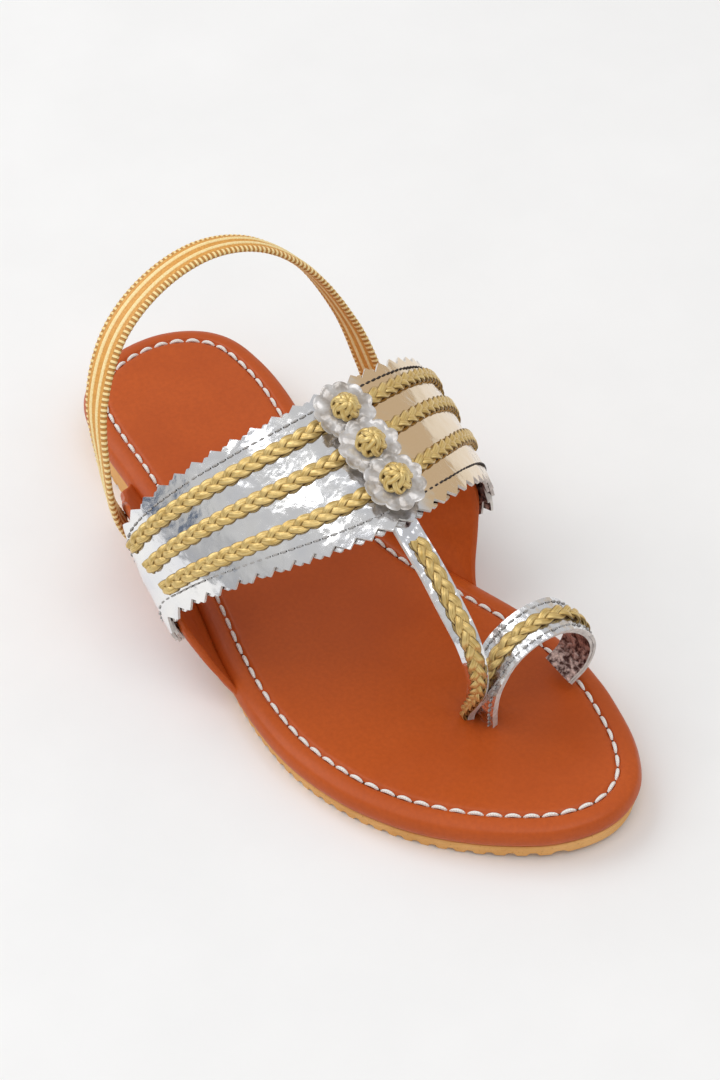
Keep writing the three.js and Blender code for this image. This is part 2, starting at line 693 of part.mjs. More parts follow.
// Heel strap: elastic, from outside one wing up and back round the heel to outside the other.
function heelStrap() {
  const lift = WING.wall / 2 + CLEAR + HEEL_STRAP.wall / 2;
  const place = (side, share, drop) => {
    const section = wingSection(side, share * SOLE_LENGTH, 0);
    const { up, out } = rimDirections(side, section);
    return section[5].clone().addScaledVector(up, -drop).addScaledVector(out, lift + HEEL_STRAP.seat);
  };
  const leg = (side, share) => ({
    foot: place(side, share, HEEL_STRAP.tail),
    rim: place(side, share - STRAP_PLACE.lead, 0),
  });
  const lateral = leg(-1, STRAP_PLACE.lateral);
  const medial = leg(1, STRAP_PLACE.medial);
  const apex = point(STRAP_PLACE.crown * SOLE_LENGTH, STRAP_PLACE.crownOut * BALL_WIDTH, 0);
  apex.z = footbedTop(apex.x) + HEEL_STRAP.height;
  const arch = [-0.9, -0.7, -0.45, -0.2, 0.05, 0.3, 0.55, 0.78, 0.92].map((k) => {
    const end = k < 0 ? lateral.rim : medial.rim;
    const fullness = k < 0 ? STRAP_FULLNESS.lateral : STRAP_FULLNESS.medial;
    const reach = Math.abs(k);
    return point(
      mix(apex.x, end.x, reach ** 2.15),
      mix(apex.y, end.y, Math.sin((reach * Math.PI) / 2)),
      mix(end.z, apex.z, Math.cos((reach * Math.PI) / 2) ** fullness),
    );
  });
  const run = [lateral.foot, lateral.rim, ...arch, medial.rim, medial.foot];
  const lean = (side, share) => {
    const step = HEEL_STRAP.width / (2 * SOLE_LENGTH);
    const across = place(side, share + step, HEEL_STRAP.tail).sub(place(side, share - step, HEEL_STRAP.tail));
    return point(across.x, across.y, 0).normalize();
  };
  const leanLateral = lean(-1, STRAP_PLACE.lateral);
  const leanMedial = lean(1, STRAP_PLACE.medial);
  const stations = stationsOn(run, STRAP_STEPS, (t, along) => {
    const across = point(1, 0, 0.12);
    across.lerp(leanLateral, 1 - smooth(0.05, 0.3, t)).lerp(leanMedial, smooth(0.58, 0.88, t));
    across.addScaledVector(along, -across.dot(along)).normalize();
    const normal = across.clone().cross(along);
    return { across, normal, width: HEEL_STRAP.width };
  });
  const half = HEEL_STRAP.wall / 2;
  const lifted = half + HEEL_STRAP.rib;
  const rib = HEEL_STRAP.ribWidth / HEEL_STRAP.width;
  const profile = [
    [-0.5, half],
    [-0.08 - rib, half],
    [-0.08 - rib / 2, lifted],
    [-0.08, half],
    [0.08, half],
    [0.08 + rib / 2, lifted],
    [0.08 + rib, half],
    [0.5, half],
    [0.5, -half],
    [0.08 + rib, -half],
    [0.08 + rib / 2, -half],
    [0.08, -half],
    [-0.08, -half],
    [-0.08 - rib / 2, -half],
    [-0.08 - rib, -half],
    [-0.5, -half],
  ];
  return strip(stations, profile);
}

// Footbed with pockets for the wings and the slot for the toe post
function footbed() {
  let solid = toManifold(footbedBody());
  for (const side of [-1, 1]) solid = solid.subtract(toManifold(wing(side, CLEAR)));
  const grow = SLOT.margin;
  const posts = [
    [thongStations(THONG_STEPS, grow).slice(-6), THONG.wall + 2 * grow],
    [loopStations(LOOP_STEPS, grow).slice(0, 6).reverse(), LOOP.wall + 2 * grow],
  ];
  for (const [stations, wall] of posts) {
    const end = stations[stations.length - 1];
    stations.push({ ...end, centre: end.centre.clone().add(point(0, 0, -SLOT.through)) });
    solid = solid.subtract(toManifold(strip(stations, plainProfile(wall))));
  }
  return toGeometry(solid);
}

const sandal = new THREE.Group();

function add(name, geometry, colour) {
  geometry.computeVertexNormals();
  const mesh = new THREE.Mesh(geometry, new THREE.MeshStandardMaterial(COLOURS[colour]));
  mesh.name = name;
  sandal.add(mesh);
}

add("outsole", outsole(), "rubber");
add("footbed", footbed(), "leather");
add("wing_lateral", wing(-1, 0), "leather");
add("wing_medial", wing(1, 0), "leather");
add("upper", toGeometry(upper()), "silver");
BRAID_ROWS.forEach((row, i) => {
  add(`braid_${row.name}`, bandBraid(row), "gold");
  add(`rosette_${row.name}`, rosette(i), "silver");
  add(`knot_${row.name}`, knot(i), "gold");
});
add("thong_braid", plait(thongStations(THONG_STEPS).slice(3, -4), THONG.wall / 2 + BRAID.seat), "gold");
add("loop_braid", plait(loopStations(LOOP_STEPS).slice(9), LOOP.wall / 2 + BRAID.seat), "gold");
add("heel_strap", heelStrap(), "elastic");

// The origin is on the floor, under the middle of the whole sandal's box.
const box = new THREE.Box3().setFromObject(sandal);
const centre = box.getCenter(point(0, 0, 0));
sandal.position.set(-centre.x, -centre.y, -box.min.z);

const model = new THREE.Group();
model.add(sandal);
export default model;
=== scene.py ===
"""Kolhapuri toe-loop sandal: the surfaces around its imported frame.

Sizes are millimetres in the sandal's own frame: X from the heel's back edge to the toe, Y towards the
medial side, Z up from the floor. Objects get them in metres, moved to where the frame holds the footbed.
"""

import math

import bpy
import bmesh
import numpy as np
from mathutils import Matrix, Vector


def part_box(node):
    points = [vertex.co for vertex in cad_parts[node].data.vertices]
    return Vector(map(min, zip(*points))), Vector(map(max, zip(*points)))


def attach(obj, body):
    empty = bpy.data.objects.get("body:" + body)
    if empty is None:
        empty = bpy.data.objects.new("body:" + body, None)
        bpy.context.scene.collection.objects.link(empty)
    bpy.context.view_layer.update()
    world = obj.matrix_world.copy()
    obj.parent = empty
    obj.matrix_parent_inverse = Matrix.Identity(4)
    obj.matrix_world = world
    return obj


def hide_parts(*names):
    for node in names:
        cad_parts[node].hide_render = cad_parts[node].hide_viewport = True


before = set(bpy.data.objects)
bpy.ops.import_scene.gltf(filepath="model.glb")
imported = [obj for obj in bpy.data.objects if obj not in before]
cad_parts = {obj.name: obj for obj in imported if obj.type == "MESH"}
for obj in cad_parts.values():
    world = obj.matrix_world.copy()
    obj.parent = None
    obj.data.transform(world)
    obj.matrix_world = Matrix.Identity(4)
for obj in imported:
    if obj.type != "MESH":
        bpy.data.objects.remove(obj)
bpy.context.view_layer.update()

LATERAL, MEDIAL = -1, 1

# Driving sizes, as in the frame
SOLE_LENGTH = 245.4
BALL_WIDTH = 90.7
CLEAR = 0.3
OUTSOLE = {"forefoot": 4.5, "heel": 10, "inset": 1, "lip": 0.8, "arch": 1.4, "toe_spring": 2.2}
RIB = {"pitch": 4.2, "depth": 1, "foot": 2.3, "root": 1.3}
FOOTBED = {"thickness": 7.2, "seam_inset": 6.8, "seam_depth": 0.9}
WING = {"wall": 2.6, "height": 36, "tuck": 3, "belly": 1.6, "stand": 0.6}
BAND = {
    "wall": 2.2, "rear_rise": 76, "front_rise": 63.5, "fullness": 0.78,
    "tab_foot": 0.6, "tab_taper": 0.8, "tab_clear": 0.6,
}
PINKING = {"depth": 2.6, "pitch": 6.4}
BRAID = {"width": 4.8, "base": 1.2, "strand": 0.9, "seat": 0.6}
ROSETTE = {"diameter": 18, "wall": 1.2, "scallops": 11, "scallop_depth": 1, "tilt": 6}
KNOT = {"diameter": 9.6, "height": 6.2}
THONG = {"width": 7.5, "wall": 2, "rise": 60}
LOOP = {"width": 11.6, "wall": 2, "height": 32.5, "span": 31.8}
SLOT = {"at": 0.786, "out": 0.09}
HEEL_STRAP = {"width": 10.6, "wall": 1.6, "rib": 0.5, "height": 79.5, "tail": 9, "seat": 1.1}
STRAP_PLACE = {LATERAL: 0.342, MEDIAL: 0.35, "lead": 0.007, "crown": 0.243, "crown_out": 0.103}
STRAP_FULLNESS = {LATERAL: 0.72, MEDIAL: 0.88}

# Fine details that the frame leaves out
SEAM_STITCH = {"pitch": 5.2, "length": 4.2, "thread": 1.15}
FINE_STITCH = {"pitch": 2.6, "length": 1.7, "thread": 0.6}
PLAIT = {"period": 13.0, "width": 5.2, "cord": 0.23, "thick": 0.27, "over": 0.007}
KNOT_CORD = 0.95
KNOT_SHARES = {"rear": 0.92, "mid": 0.97, "front": 1}
ELASTIC_RIB = {"out": 1.64, "half": 0.62}
LADDER_PITCH = 1.6
BAND_ACROSS = 40
BAND_SEAM_INSET = {"rear": 2.1, "front": 3.2}
# Span along the band, as shares of its length, where a beige reflection is painted into the foil's colour
PAINTED_REFLECTION_SPAN = (0.54, 0.85)

# Outline of the sole: share of the length, then lateral and medial edge as shares of the ball width
OUTLINE = np.array([
    (0, 0.19, 0.19), (0.008, 0.06, 0.32), (0.041, -0.068, 0.452), (0.082, -0.128, 0.508),
    (0.143, -0.166, 0.516), (0.204, -0.192, 0.494), (0.285, -0.235, 0.44), (0.367, -0.288, 0.395),
    (0.448, -0.352, 0.381), (0.53, -0.421, 0.397), (0.611, -0.47, 0.444), (0.693, -0.485, 0.49),
    (0.774, -0.449, 0.504), (0.835, -0.384, 0.484), (0.876, -0.318, 0.454), (0.917, -0.232, 0.414),
    (0.949, -0.147, 0.366), (0.978, -0.05, 0.3), (0.994, 0.045, 0.225), (1, 0.138, 0.138),
])

# Top line of each wing: share of the length, flare past the sole's edge, rise above the footbed
WING_RIM = {
    LATERAL: np.array([
        (0.179, 0.02, -0.02), (0.236, 0.066, 0.153), (0.285, 0.099, 0.347), (0.326, 0.137, 0.625),
        (0.375, 0.159, 0.944), (0.44, 0.151, 0.767), (0.501, 0.116, 0.528), (0.562, 0.055, 0.153),
        (0.599, 0.018, -0.02),
    ]),
    MEDIAL: np.array([
        (0.212, 0.02, -0.02), (0.261, 0.068, 0.22), (0.346, 0.162, 0.583), (0.399, 0.207, 0.88),
        (0.432, 0.224, 1), (0.505, 0.202, 0.778), (0.566, 0.154, 0.5), (0.615, 0.066, 0.18),
        (0.642, 0.018, -0.02),
    ]),
}

# Rear and front edge of the band: fold on each side, crest, and how far the crest is to the medial side
BAND_EDGE = {
    "rear": {LATERAL: 0.402, MEDIAL: 0.431, "crest": 0.513, "crest_out": 0.083},
    "front": {LATERAL: 0.497, MEDIAL: 0.564, "crest": 0.681, "crest_out": 0.044},
}
# Each plait's place between those edges at its lateral end, crest and medial end, and its rosette's place
BRAID_ROWS = {
    "rear": (0.21, 0.17, 0.11, 0.185), "mid": (0.51, 0.43, 0.38, 0.49), "front": (0.79, 0.75, 0.67, 0.795),
}
BRAID_ENDS = (0.155, 0.845)

# Thong: share of the length, out, up, turn in degrees, share of the width
THONG_ROUTE = np.array([
    (0.66, 0.026, 1.075, 0, 1), (0.695, 0.02, 0.985, 0, 1), (0.735, 0.011, 0.9, 4, 1),
    (0.768, 0.006, 0.79, 10, 1), (0.796, 0.008, 0.66, 20, 0.95), (0.808, 0.018, 0.51, 36, 0.86),
    (0.806, 0.034, 0.34, 64, 0.74), (0.791, 0.052, 0.17, 96, 0.62), (0.775, 0.063, 0.02, 114, 0.58),
    (0.772, 0.064, -0.112, 115, 0.58),
])

# Toe loop: share of the length, out, up, forward lean in degrees
LOOP_ROUTE = np.array([
    (0.785, 0, -0.207, 0), (0.786, 0, 0, 0), (0.795, -0.05, 0.28, 0), (0.802, -0.03, 0.6, 6),
    (0.807, 0.13, 0.89, 13), (0.809, 0.4, 1, 19), (0.81, 0.71, 0.95, 20), (0.809, 0.93, 0.73, 14),
    (0.807, 1.01, 0.47, 6), (0.804, 0.94, 0.24, 0), (0.802, 0.79, 0.13, 0),
])

# Photograph: size, focal length in its pixels, and the pixel at the sandal's middle
PHOTO = {"width": 720, "height": 1080, "focal": 2000.0, "sandal_x": 252, "sandal_y": 672}
CAMERA_PLACE = Vector((0.5343, -0.3653, 0.6838))
CAMERA_FORWARD = Vector((-0.5752, 0.4774, -0.6643))
CAMERA_RIGHT = Vector((0.6387, 0.7695, 0.0))
CLOSER = 1.56
SENSOR_MM = 36
FLOOR_REACH = 6.0
# Studio: colour of the sky by height, then patches by direction, from and to cosine, and colour
STUDIO_STRENGTH = 0.77
STUDIO_ENDS = ((0.6, 0.61, 0.63, 1), (0.78, 0.78, 0.78, 1))
STUDIO_GREYS = ((0.12, 0.62), (0.3, 0.74), (0.5, 0.78))
STUDIO_PATCHES = (
    ((-0.44, 0.89, 0.12), (0.80, 0.86), (0.8, 0.7, 0.58, 1)),
    ((-0.6, -0.77, 0.18), (0.968, 0.988), (0.14, 0.18, 0.26, 1)),
)
# Softboxes: name, place and size in metres, watts
LIGHTS = (
    ("key_softbox", (-1.0, -0.6, 1.35), (1.5, 1.3), 12.5),
    ("top_softbox", (0.55, -0.15, 1.6), (1.3, 1.0), 6.5),
)
LIGHT_TARGET = Vector((0, 0, 0.03))


# Small maths
def mix(a, b, t):
    return a + (b - a) * t


def smooth(a, b, x):
    t = np.clip((x - a) / (b - a), 0, 1)
    return t * t * (3 - 2 * t)


def unit(v):
    return v / np.maximum(np.linalg.norm(v, axis=-1, keepdims=True), 1e-9)


def stack(x, y, z):
    return np.stack(np.broadcast_arrays(x, y, z), axis=-1).astype(float)


def follow(knots, values, t):
    """Smooth curve through a table's rows, by the slope of the neighbours of each row."""
    t = np.asarray(t, float)
    last = len(knots) - 1
    below = np.maximum(np.arange(last + 1) - 1, 0)
    above = np.minimum(np.arange(last + 1) + 1, last)
    slope = (values[above] - values[below]) / (knots[above] - knots[below])
    i = np.clip(np.searchsorted(knots, t) - 1, 0, last - 1)
    span = knots[i + 1] - knots[i]
    s = (t - knots[i]) / span
    h1 = s * s * (3 - 2 * s)
    h2 = s * (1 - s) ** 2 * span
    h3 = s * s * (s - 1) * span
    return values[i] * (1 - h1) + values[i + 1] * h1 + slope[i] * h2 + slope[i + 1] * h3


def ripple(a, b, size, seed):
    """Smooth random waves over two coordinates, each about one size long, from about -1 to 1."""
    rng = np.random.default_rng(seed)
    total = 0
    for _ in range(10):
        heading = rng.uniform(0, 2 * math.pi)
        number = 2 * math.pi / (size * rng.uniform(0.6, 1.7))
        total = total + np.sin(
            (a * math.cos(heading) + b * math.sin(heading)) * number + rng.uniform(0, 2 * math.pi)
        )
    return total / 4.5


def route_at(points, t):
    """Centripetal curve through the points, at shares t of the way by point number."""
    points = np.asarray(points, float)
    padded = np.vstack([2 * points[0] - points[1], points, 2 * points[-1] - points[-2]])
    last = len(points) - 1
    place = np.clip(t, 0, 1) * last
    i = np.minimum(place.astype(int), last - 1)
    w = (place - i)[:, None]
    p0, p1, p2, p3 = (padded[i + k] for k in range(4))
    d0, d1, d2 = (
        np.sqrt(np.linalg.norm(b - a, axis=1))[:, None] for a, b in ((p0, p1), (p1, p2), (p2, p3))
    )
    m1 = ((p1 - p0) / d0 - (p2 - p0) / (d0 + d1) + (p2 - p1) / d1) * d1
    m2 = ((p2 - p1) / d1 - (p3 - p1) / (d1 + d2) + (p3 - p2) / d2) * d1
    return p1 + m1 * w + (3 * (p2 - p1) - 2 * m1 - m2) * w**2 + (2 * (p1 - p2) + m1 + m2) * w**3


def lengths_along(path):
    """Distance from the start to each point of a path."""
    return np.concatenate([[0], np.cumsum(np.linalg.norm(np.diff(path, axis=0), axis=1))])


def resample(path, places, *others):
    """Points of a path, and of arrays that go with it, at the given distances from its start."""
    run = lengths_along(path)
    return [
        np.stack([np.interp(places, run, a[:, k]) for k in range(a.shape[1])], axis=1)
        for a in (path, *others)
    ]


# The sole
TURNS = np.arccos(1 - 2 * OUTLINE[:, 0])
OUTLINE_TURN = np.concatenate([TURNS, 2 * math.pi - TURNS[-2::-1]])
OUTLINE_OUT = np.concatenate([OUTLINE[:, 1], OUTLINE[-2::-1, 2]])
OUTLINE_TURN = np.concatenate([
    OUTLINE_TURN[-3:-1] - 2 * math.pi, OUTLINE_TURN, OUTLINE_TURN[1:3] + 2 * math.pi,
])
OUTLINE_OUT = np.concatenate([OUTLINE_OUT[-3:-1], OUTLINE_OUT, OUTLINE_OUT[1:3]])


def outline_point(turn):
    x = SOLE_LENGTH / 2 * (1 - np.cos(turn))
    return stack(x, BALL_WIDTH * follow(OUTLINE_TURN, OUTLINE_OUT, turn), 0)


def outline_outward(turn):
    step = 0.01
    along = outline_point(turn + step) - outline_point(turn - step)
    return unit(stack(along[..., 1], -along[..., 0], 0))


def edge_y(side, x):
    turn = np.arccos(1 - 2 * np.clip(x / SOLE_LENGTH, 0, 1))
    return outline_point(2 * math.pi - turn if side > 0 else turn)[..., 1]


def toe_lift(x):
    return OUTSOLE["toe_spring"] * np.maximum(0, (x / SOLE_LENGTH - 0.84) / 0.16) ** 2


def outsole_top(x):
    return mix(OUTSOLE["heel"], OUTSOLE["forefoot"], smooth(0.27, 0.52, x / SOLE_LENGTH)) + toe_lift(x)


def outsole_bottom(x):
    share = x / SOLE_LENGTH
    return OUTSOLE["arch"] * smooth(0.28, 0.36, share) * (1 - smooth(0.46, 0.56, share)) + toe_lift(x)


def footbed_top(x):
    return outsole_top(x) + CLEAR + FOOTBED["thickness"]


# Place of the sandal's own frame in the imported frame
FOOTBED_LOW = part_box("footbed")[0]
WHOLE_OUTLINE = outline_point(np.linspace(0, 2 * math.pi, 65))
SHIFT = np.array([
    FOOTBED_LOW.x * 1000 - WHOLE_OUTLINE[:, 0].min(),
    FOOTBED_LOW.y * 1000 - WHOLE_OUTLINE[:, 1].min(),
    0,
])


# Patches of mesh: points, faces, and for each point its place along, across and up the piece
def grid_faces(rows, count, closed_ring, closed_run=False):
    r = np.arange(rows if closed_run else rows - 1)[:, None]
    i = np.arange(count if closed_ring else count - 1)[None, :]
    after = (i + 1) % count
    below = (r + 1) % rows
    quads = np.stack([r * count + i, r * count + after, below * count + after, below * count + i], axis=-1)
    return quads.reshape(-1, 4)


def patch(points, faces, lay=None, material=0):
    points = points.reshape(-1, 3)
    lay = np.zeros_like(points) if lay is None else lay.reshape(-1, 3)
    return {"points": points, "faces": [list(map(int, f)) for f in faces], "lay": lay, "material": material}


def sheet(top, bottom, lay, above, below, edge):
    """Two faces over one grid, and the cut all round them."""
    rows, count = top.shape[:2]
    faces = grid_faces(rows, count, False)
    border = np.concatenate([
        np.arange(count), np.arange(2, rows) * count - 1, rows * count - 1 - np.arange(count),
        np.arange(rows - 2, 0, -1) * count,
    ])
    walls = np.stack([top.reshape(-1, 3)[border], bottom.reshape(-1, 3)[border]])
    return [
        patch(top, faces, lay, above),
        patch(bottom, faces[:, ::-1], lay, below),
        patch(walls, grid_faces(2, len(border), True), None, edge),
    ]


def loft(rings, lay=None, material=0, closed_run=False):
    """Closed rings of equal count joined along the piece, with flat ends."""
    rows, count = rings.shape[:2]
    faces = list(grid_faces(rows, count, True, closed_run))
    if not closed_run:
        faces += [list(range(count)), list(range((rows - 1) * count, rows * count))]
    if lay is not None:
        lay = np.broadcast_to(lay, rings.shape).reshape(-1, 3)
    return patch(rings, faces, lay, material)


def sweep(path, across, normal, profile, material=0, closed_run=False, lay=None):
    """A profile of (across, normal) offsets carried along a path. It may change from point to point."""
    profile = np.asarray(profile, float)
    if profile.ndim == 2:
        profile = np.broadcast_to(profile, (len(path), *profile.shape))
    rings = (
        path[:, None] + across[:, None] * profile[..., :1] + normal[:, None] * profile[..., 1:2]
    )
    if lay is None:
        run = lengths_along(path)[:, None]
        lay = stack(run, profile[..., 0], profile[..., 1])
    return loft(rings, lay, material, closed_run)


def full_turn(steps):
    return np.arange(steps) * 2 * math.pi / steps


def round_profile(radius, sides):
    turn = full_turn(sides)
    return radius * np.stack([np.cos(turn), np.sin(turn)], axis=1)


def frames_along(path, hint, closed=False):
    if closed:
        along = unit(np.roll(path, -1, axis=0) - np.roll(path, 1, axis=0))
    else:
        along = unit(np.gradient(path, axis=0))
    across = unit(np.cross(along, hint))
    return across, np.cross(across, along)


def add_object(name, data):
    made = bpy.data.objects.new(name, data)
    bpy.context.scene.collection.objects.link(made)
    return made


def make_piece(name, patches, materials, replaces=(), crease=42):
    """One object from patches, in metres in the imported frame, riding on the one body."""
    points, lay, faces, index = [], [], [], []
    start = 0
    for part in patches:
        points.append(part["points"])
        lay.append(part["lay"])
        faces += [[start + i for i in face] for face in part["faces"]]
        index += [part["material"]] * len(part["faces"])
        start += len(part["points"])
    mesh = bpy.data.meshes.new(name)
    mesh.from_pydata(((np.concatenate(points) + SHIFT) / 1000).tolist(), [], faces)
    mesh.attributes.new("lay", "FLOAT_VECTOR", "POINT").data.foreach_set(
        "vector", np.concatenate(lay).astype(np.float32).ravel()
    )
    mesh.polygons.foreach_set("material_index", index)
    for material in materials:
        mesh.materials.append(material)
    work = bmesh.new()
    work.from_mesh(mesh)
    bmesh.ops.dissolve_degenerate(work, dist=1e-7, edges=work.edges[:])
    bmesh.ops.recalc_face_normals(work, faces=work.faces[:])
    work.to_mesh(mesh)
    work.free()
    mesh.shade_smooth()
    mesh.set_sharp_from_angle(angle=math.radians(crease))
    piece = add_object(name, mesh)
    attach(piece, "root")
    if replaces:
        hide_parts(*replaces)


def stitch_row(path, normals, kind, sink):
    """Stitches along a path on a surface: threads (0) that dive at both ends, and flat dark discs there (1),
    painted shade of the needle holes.
    """
    length, thick = kind["length"], kind["thread"]
    total = lengths_along(path)[-1]
    count = int(total / kind["pitch"])
    share = np.linspace(0, 1, 9)
    made = []
    for k in range(count):
        start = k * total / count
        line, up = resample(path, start + share * length, normals)
        up = unit(up)
        height = thick * (0.5 * np.sin(math.pi * share) ** 0.6 - sink - 0.25 * (1 - np.sin(math.pi * share)))
        line = line + up * height[:, None]
        across, normal = frames_along(line, up)
        swell = (0.55 + 0.45 * np.sin(math.pi * share) ** 0.5)[:, None, None]
        profile = round_profile(thick / 2, 7)[None] * swell
        made.append(sweep(line, across, normal, profile))
        # A flat dark disc at each end: painted shade of the needle hole
        for end in (0, -1):
            middle = resample(path, start + share[[end]] * length)[0]
            ring = round_profile(thick * 0.42, 8)
            rim = middle + across[end] * ring[:, :1] + unit(np.cross(across[end], up[end])) * ring[:, 1:]
            made.append(patch(rim + up[end] * 0.04, [list(range(8))], None, 1))
    return made


# Wings
def wing_section(side, x):
    rows = WING_RIM[side]
    x = np.atleast_1d(np.asarray(x, float))
    share = x / SOLE_LENGTH
    edge = edge_y(side, x)
    seat = outsole_top(x) + CLEAR + WING["wall"] / 2
    flare = BALL_WIDTH * follow(rows[:, 0], rows[:, 1], share)
    rise = WING["height"] * follow(rows[:, 0], rows[:, 2], share)
    low = stack(x, edge + side * np.minimum(WING["stand"], flare + 0.4), seat + 2.8)
    rim = stack(x, edge + side * flare, footbed_top(x) + rise)
    lean = rim - low
    out = unit(stack(0, side, -lean[:, 1] * side / np.maximum(1, lean[:, 2])))
    wall = [
        low + lean * h + out * (WING["belly"] * math.sin(math.pi * h) * rise / WING["height"])[:, None]
        for h in (0.34, 0.67)
    ]
    tuck = stack(x, edge - side * WING["tuck"], seat)
    turn = stack(x, edge + side * 0.5, seat + 0.2)
    return np.stack([tuck, turn, low, *wall, rim], axis=1)


def rim_directions(side, section):
    up = unit(section[:, 5] - section[:, 4])
    return up, stack(0, side * up[:, 2], -side * up[:, 1])


# The band's middle surface, as a fine grid over u (lateral foot to medial foot) and v (rear to front)
def band_run(v):
    offset = WING["wall"] / 2 + CLEAR + BAND["wall"] / 2 + BAND["tab_clear"]
    rear, front = BAND_EDGE["rear"], BAND_EDGE["front"]
    rails, folds = {}, {}
    for side in (LATERAL, MEDIAL):
        fold_x = SOLE_LENGTH * mix(rear[side], front[side], v)
        middle_x = SOLE_LENGTH * (rear[side] + front[side]) / 2
        rail = []
        for down, first, second, share in ((1, 2, 3, BAND["tab_foot"]), (0.7, 3, 3, 0), (0.25, 4, 4, 0)):
            section = wing_section(side, mix(fold_x, middle_x, BAND["tab_taper"] * down))
            _, out = rim_directions(side, section)
            rail.append(mix(section[0, first], section[0, second], share) + out[0] * offset)
        section = wing_section(side, fold_x)
        up, out = rim_directions(side, section)
        rail.append(section[0, 5] - up[0] + out[0] * offset)
        rails[side] = rail
        folds[side] = section[0, 5] + up[0] * offset * 0.9 + out[0] * offset * 0.5
    crest = np.array([
        SOLE_LENGTH * mix(rear["crest"], front["crest"], v),
        BALL_WIDTH * mix(rear["crest_out"], front["crest_out"], v),
        0,
    ])
    crest[2] = footbed_top(crest[0]) + mix(BAND["rear_rise"], BAND["front_rise"], v)
    arch = []
    for k in (-0.93, -0.78, -0.56, -0.3, 0, 0.3, 0.56, 0.78, 0.93):
        fold = folds[LATERAL if k < 0 else MEDIAL]
        reach = abs(k)
        arch.append([
            mix(crest[0], fold[0], reach**1.9),
            mix(crest[1], fold[1], reach),
            mix(fold[2], crest[2], (1 - reach * reach) ** BAND["fullness"]),
        ])
    return [*rails[LATERAL], folds[LATERAL], *arch, folds[MEDIAL], *rails[MEDIAL][::-1]]


BAND_U, BAND_V = 801, 41


def band_grid():
    rows, totals = [], []
    for v in np.linspace(0, 1, BAND_V):
        path = route_at(band_run(v), np.linspace(0, 1, 1600))
        totals.append(lengths_along(path)[-1])
        rows.append(resample(path, np.linspace(0, totals[-1], BAND_U))[0])
    grid = np.stack(rows)
    normals = unit(np.cross(np.gradient(grid, axis=0), np.gradient(grid, axis=1)))
    return grid, normals, totals[BAND_V // 2]


BAND_MIDDLE, BAND_NORMAL, BAND_LENGTH = band_grid()
BAND_TEETH = round(BAND_LENGTH / PINKING["pitch"])


def on_band(u, v, lift=0.0):
    """Points of the band at u and v, lifted off its middle surface. Past the edges it goes on straight."""
    u, v, lift = np.broadcast_arrays(np.asarray(u, float), v, lift)
    a = np.clip(v, 0, 1) * (BAND_V - 1)
    b = np.clip(u, 0, 1) * (BAND_U - 1)
    i = np.minimum(a.astype(int), BAND_V - 2)
    j = np.minimum(b.astype(int), BAND_U - 2)
    p = (a - i)[..., None]
    q = (b - j)[..., None]

    def at(table):
        near = mix(table[i, j], table[i, j + 1], q)
        far = mix(table[i + 1, j], table[i + 1, j + 1], q)
        return mix(near, far, p), (far - near) * (BAND_V - 1)

    point, slope = at(BAND_MIDDLE)
    normal = unit(at(BAND_NORMAL)[0])
    beyond = (v - np.clip(v, 0, 1))[..., None]
    return point + slope * beyond + normal * lift[..., None], normal


def band_width(u):
    return np.linalg.norm(on_band(u, 1.0)[0] - on_band(u, 0.0)[0], axis=-1)


# Straps that twist
def square_to(along, across):
    """The part of across that is square to along, at unit length."""
    return unit(across - along * np.sum(across * along, axis=1, keepdims=True))


def route_frames(route, t, root, span, rise):
    """Path of a strap's route, its direction, and the angle in the route's fourth column."""
    ground = footbed_top(SLOT["at"] * SOLE_LENGTH)
    at, out, up = route[:, 0], route[:, 1], route[:, 2]
    path = route_at(stack(at * SOLE_LENGTH, root + out * span, ground + up * rise), t)
    angle = np.radians(follow(np.linspace(0, 1, len(route)), route[:, 3], t))
    return path, unit(np.gradient(path, axis=0)), angle


def thong_frames(steps, from_t=0.0, to_t=1.0):
    t = np.linspace(from_t, to_t, steps)
    path, along, turn = route_frames(THONG_ROUTE, t, 0, BALL_WIDTH, THONG["rise"])
    across = square_to(along, stack(np.sin(turn), np.cos(turn), 0))
    width = THONG["width"] * follow(np.linspace(0, 1, len(THONG_ROUTE)), THONG_ROUTE[:, 4], t)
    return path, across, np.cross(along, across), width


def loop_frames(steps, from_t=0.0, to_t=1.0):
    t = np.linspace(from_t, to_t, steps)
    path, along, tip = route_frames(LOOP_ROUTE, t, SLOT["out"] * BALL_WIDTH, LOOP["span"], LOOP["height"])
    across = square_to(along, stack(np.cos(tip), 0, -np.sin(tip)))
    return path, across, np.cross(across, along)


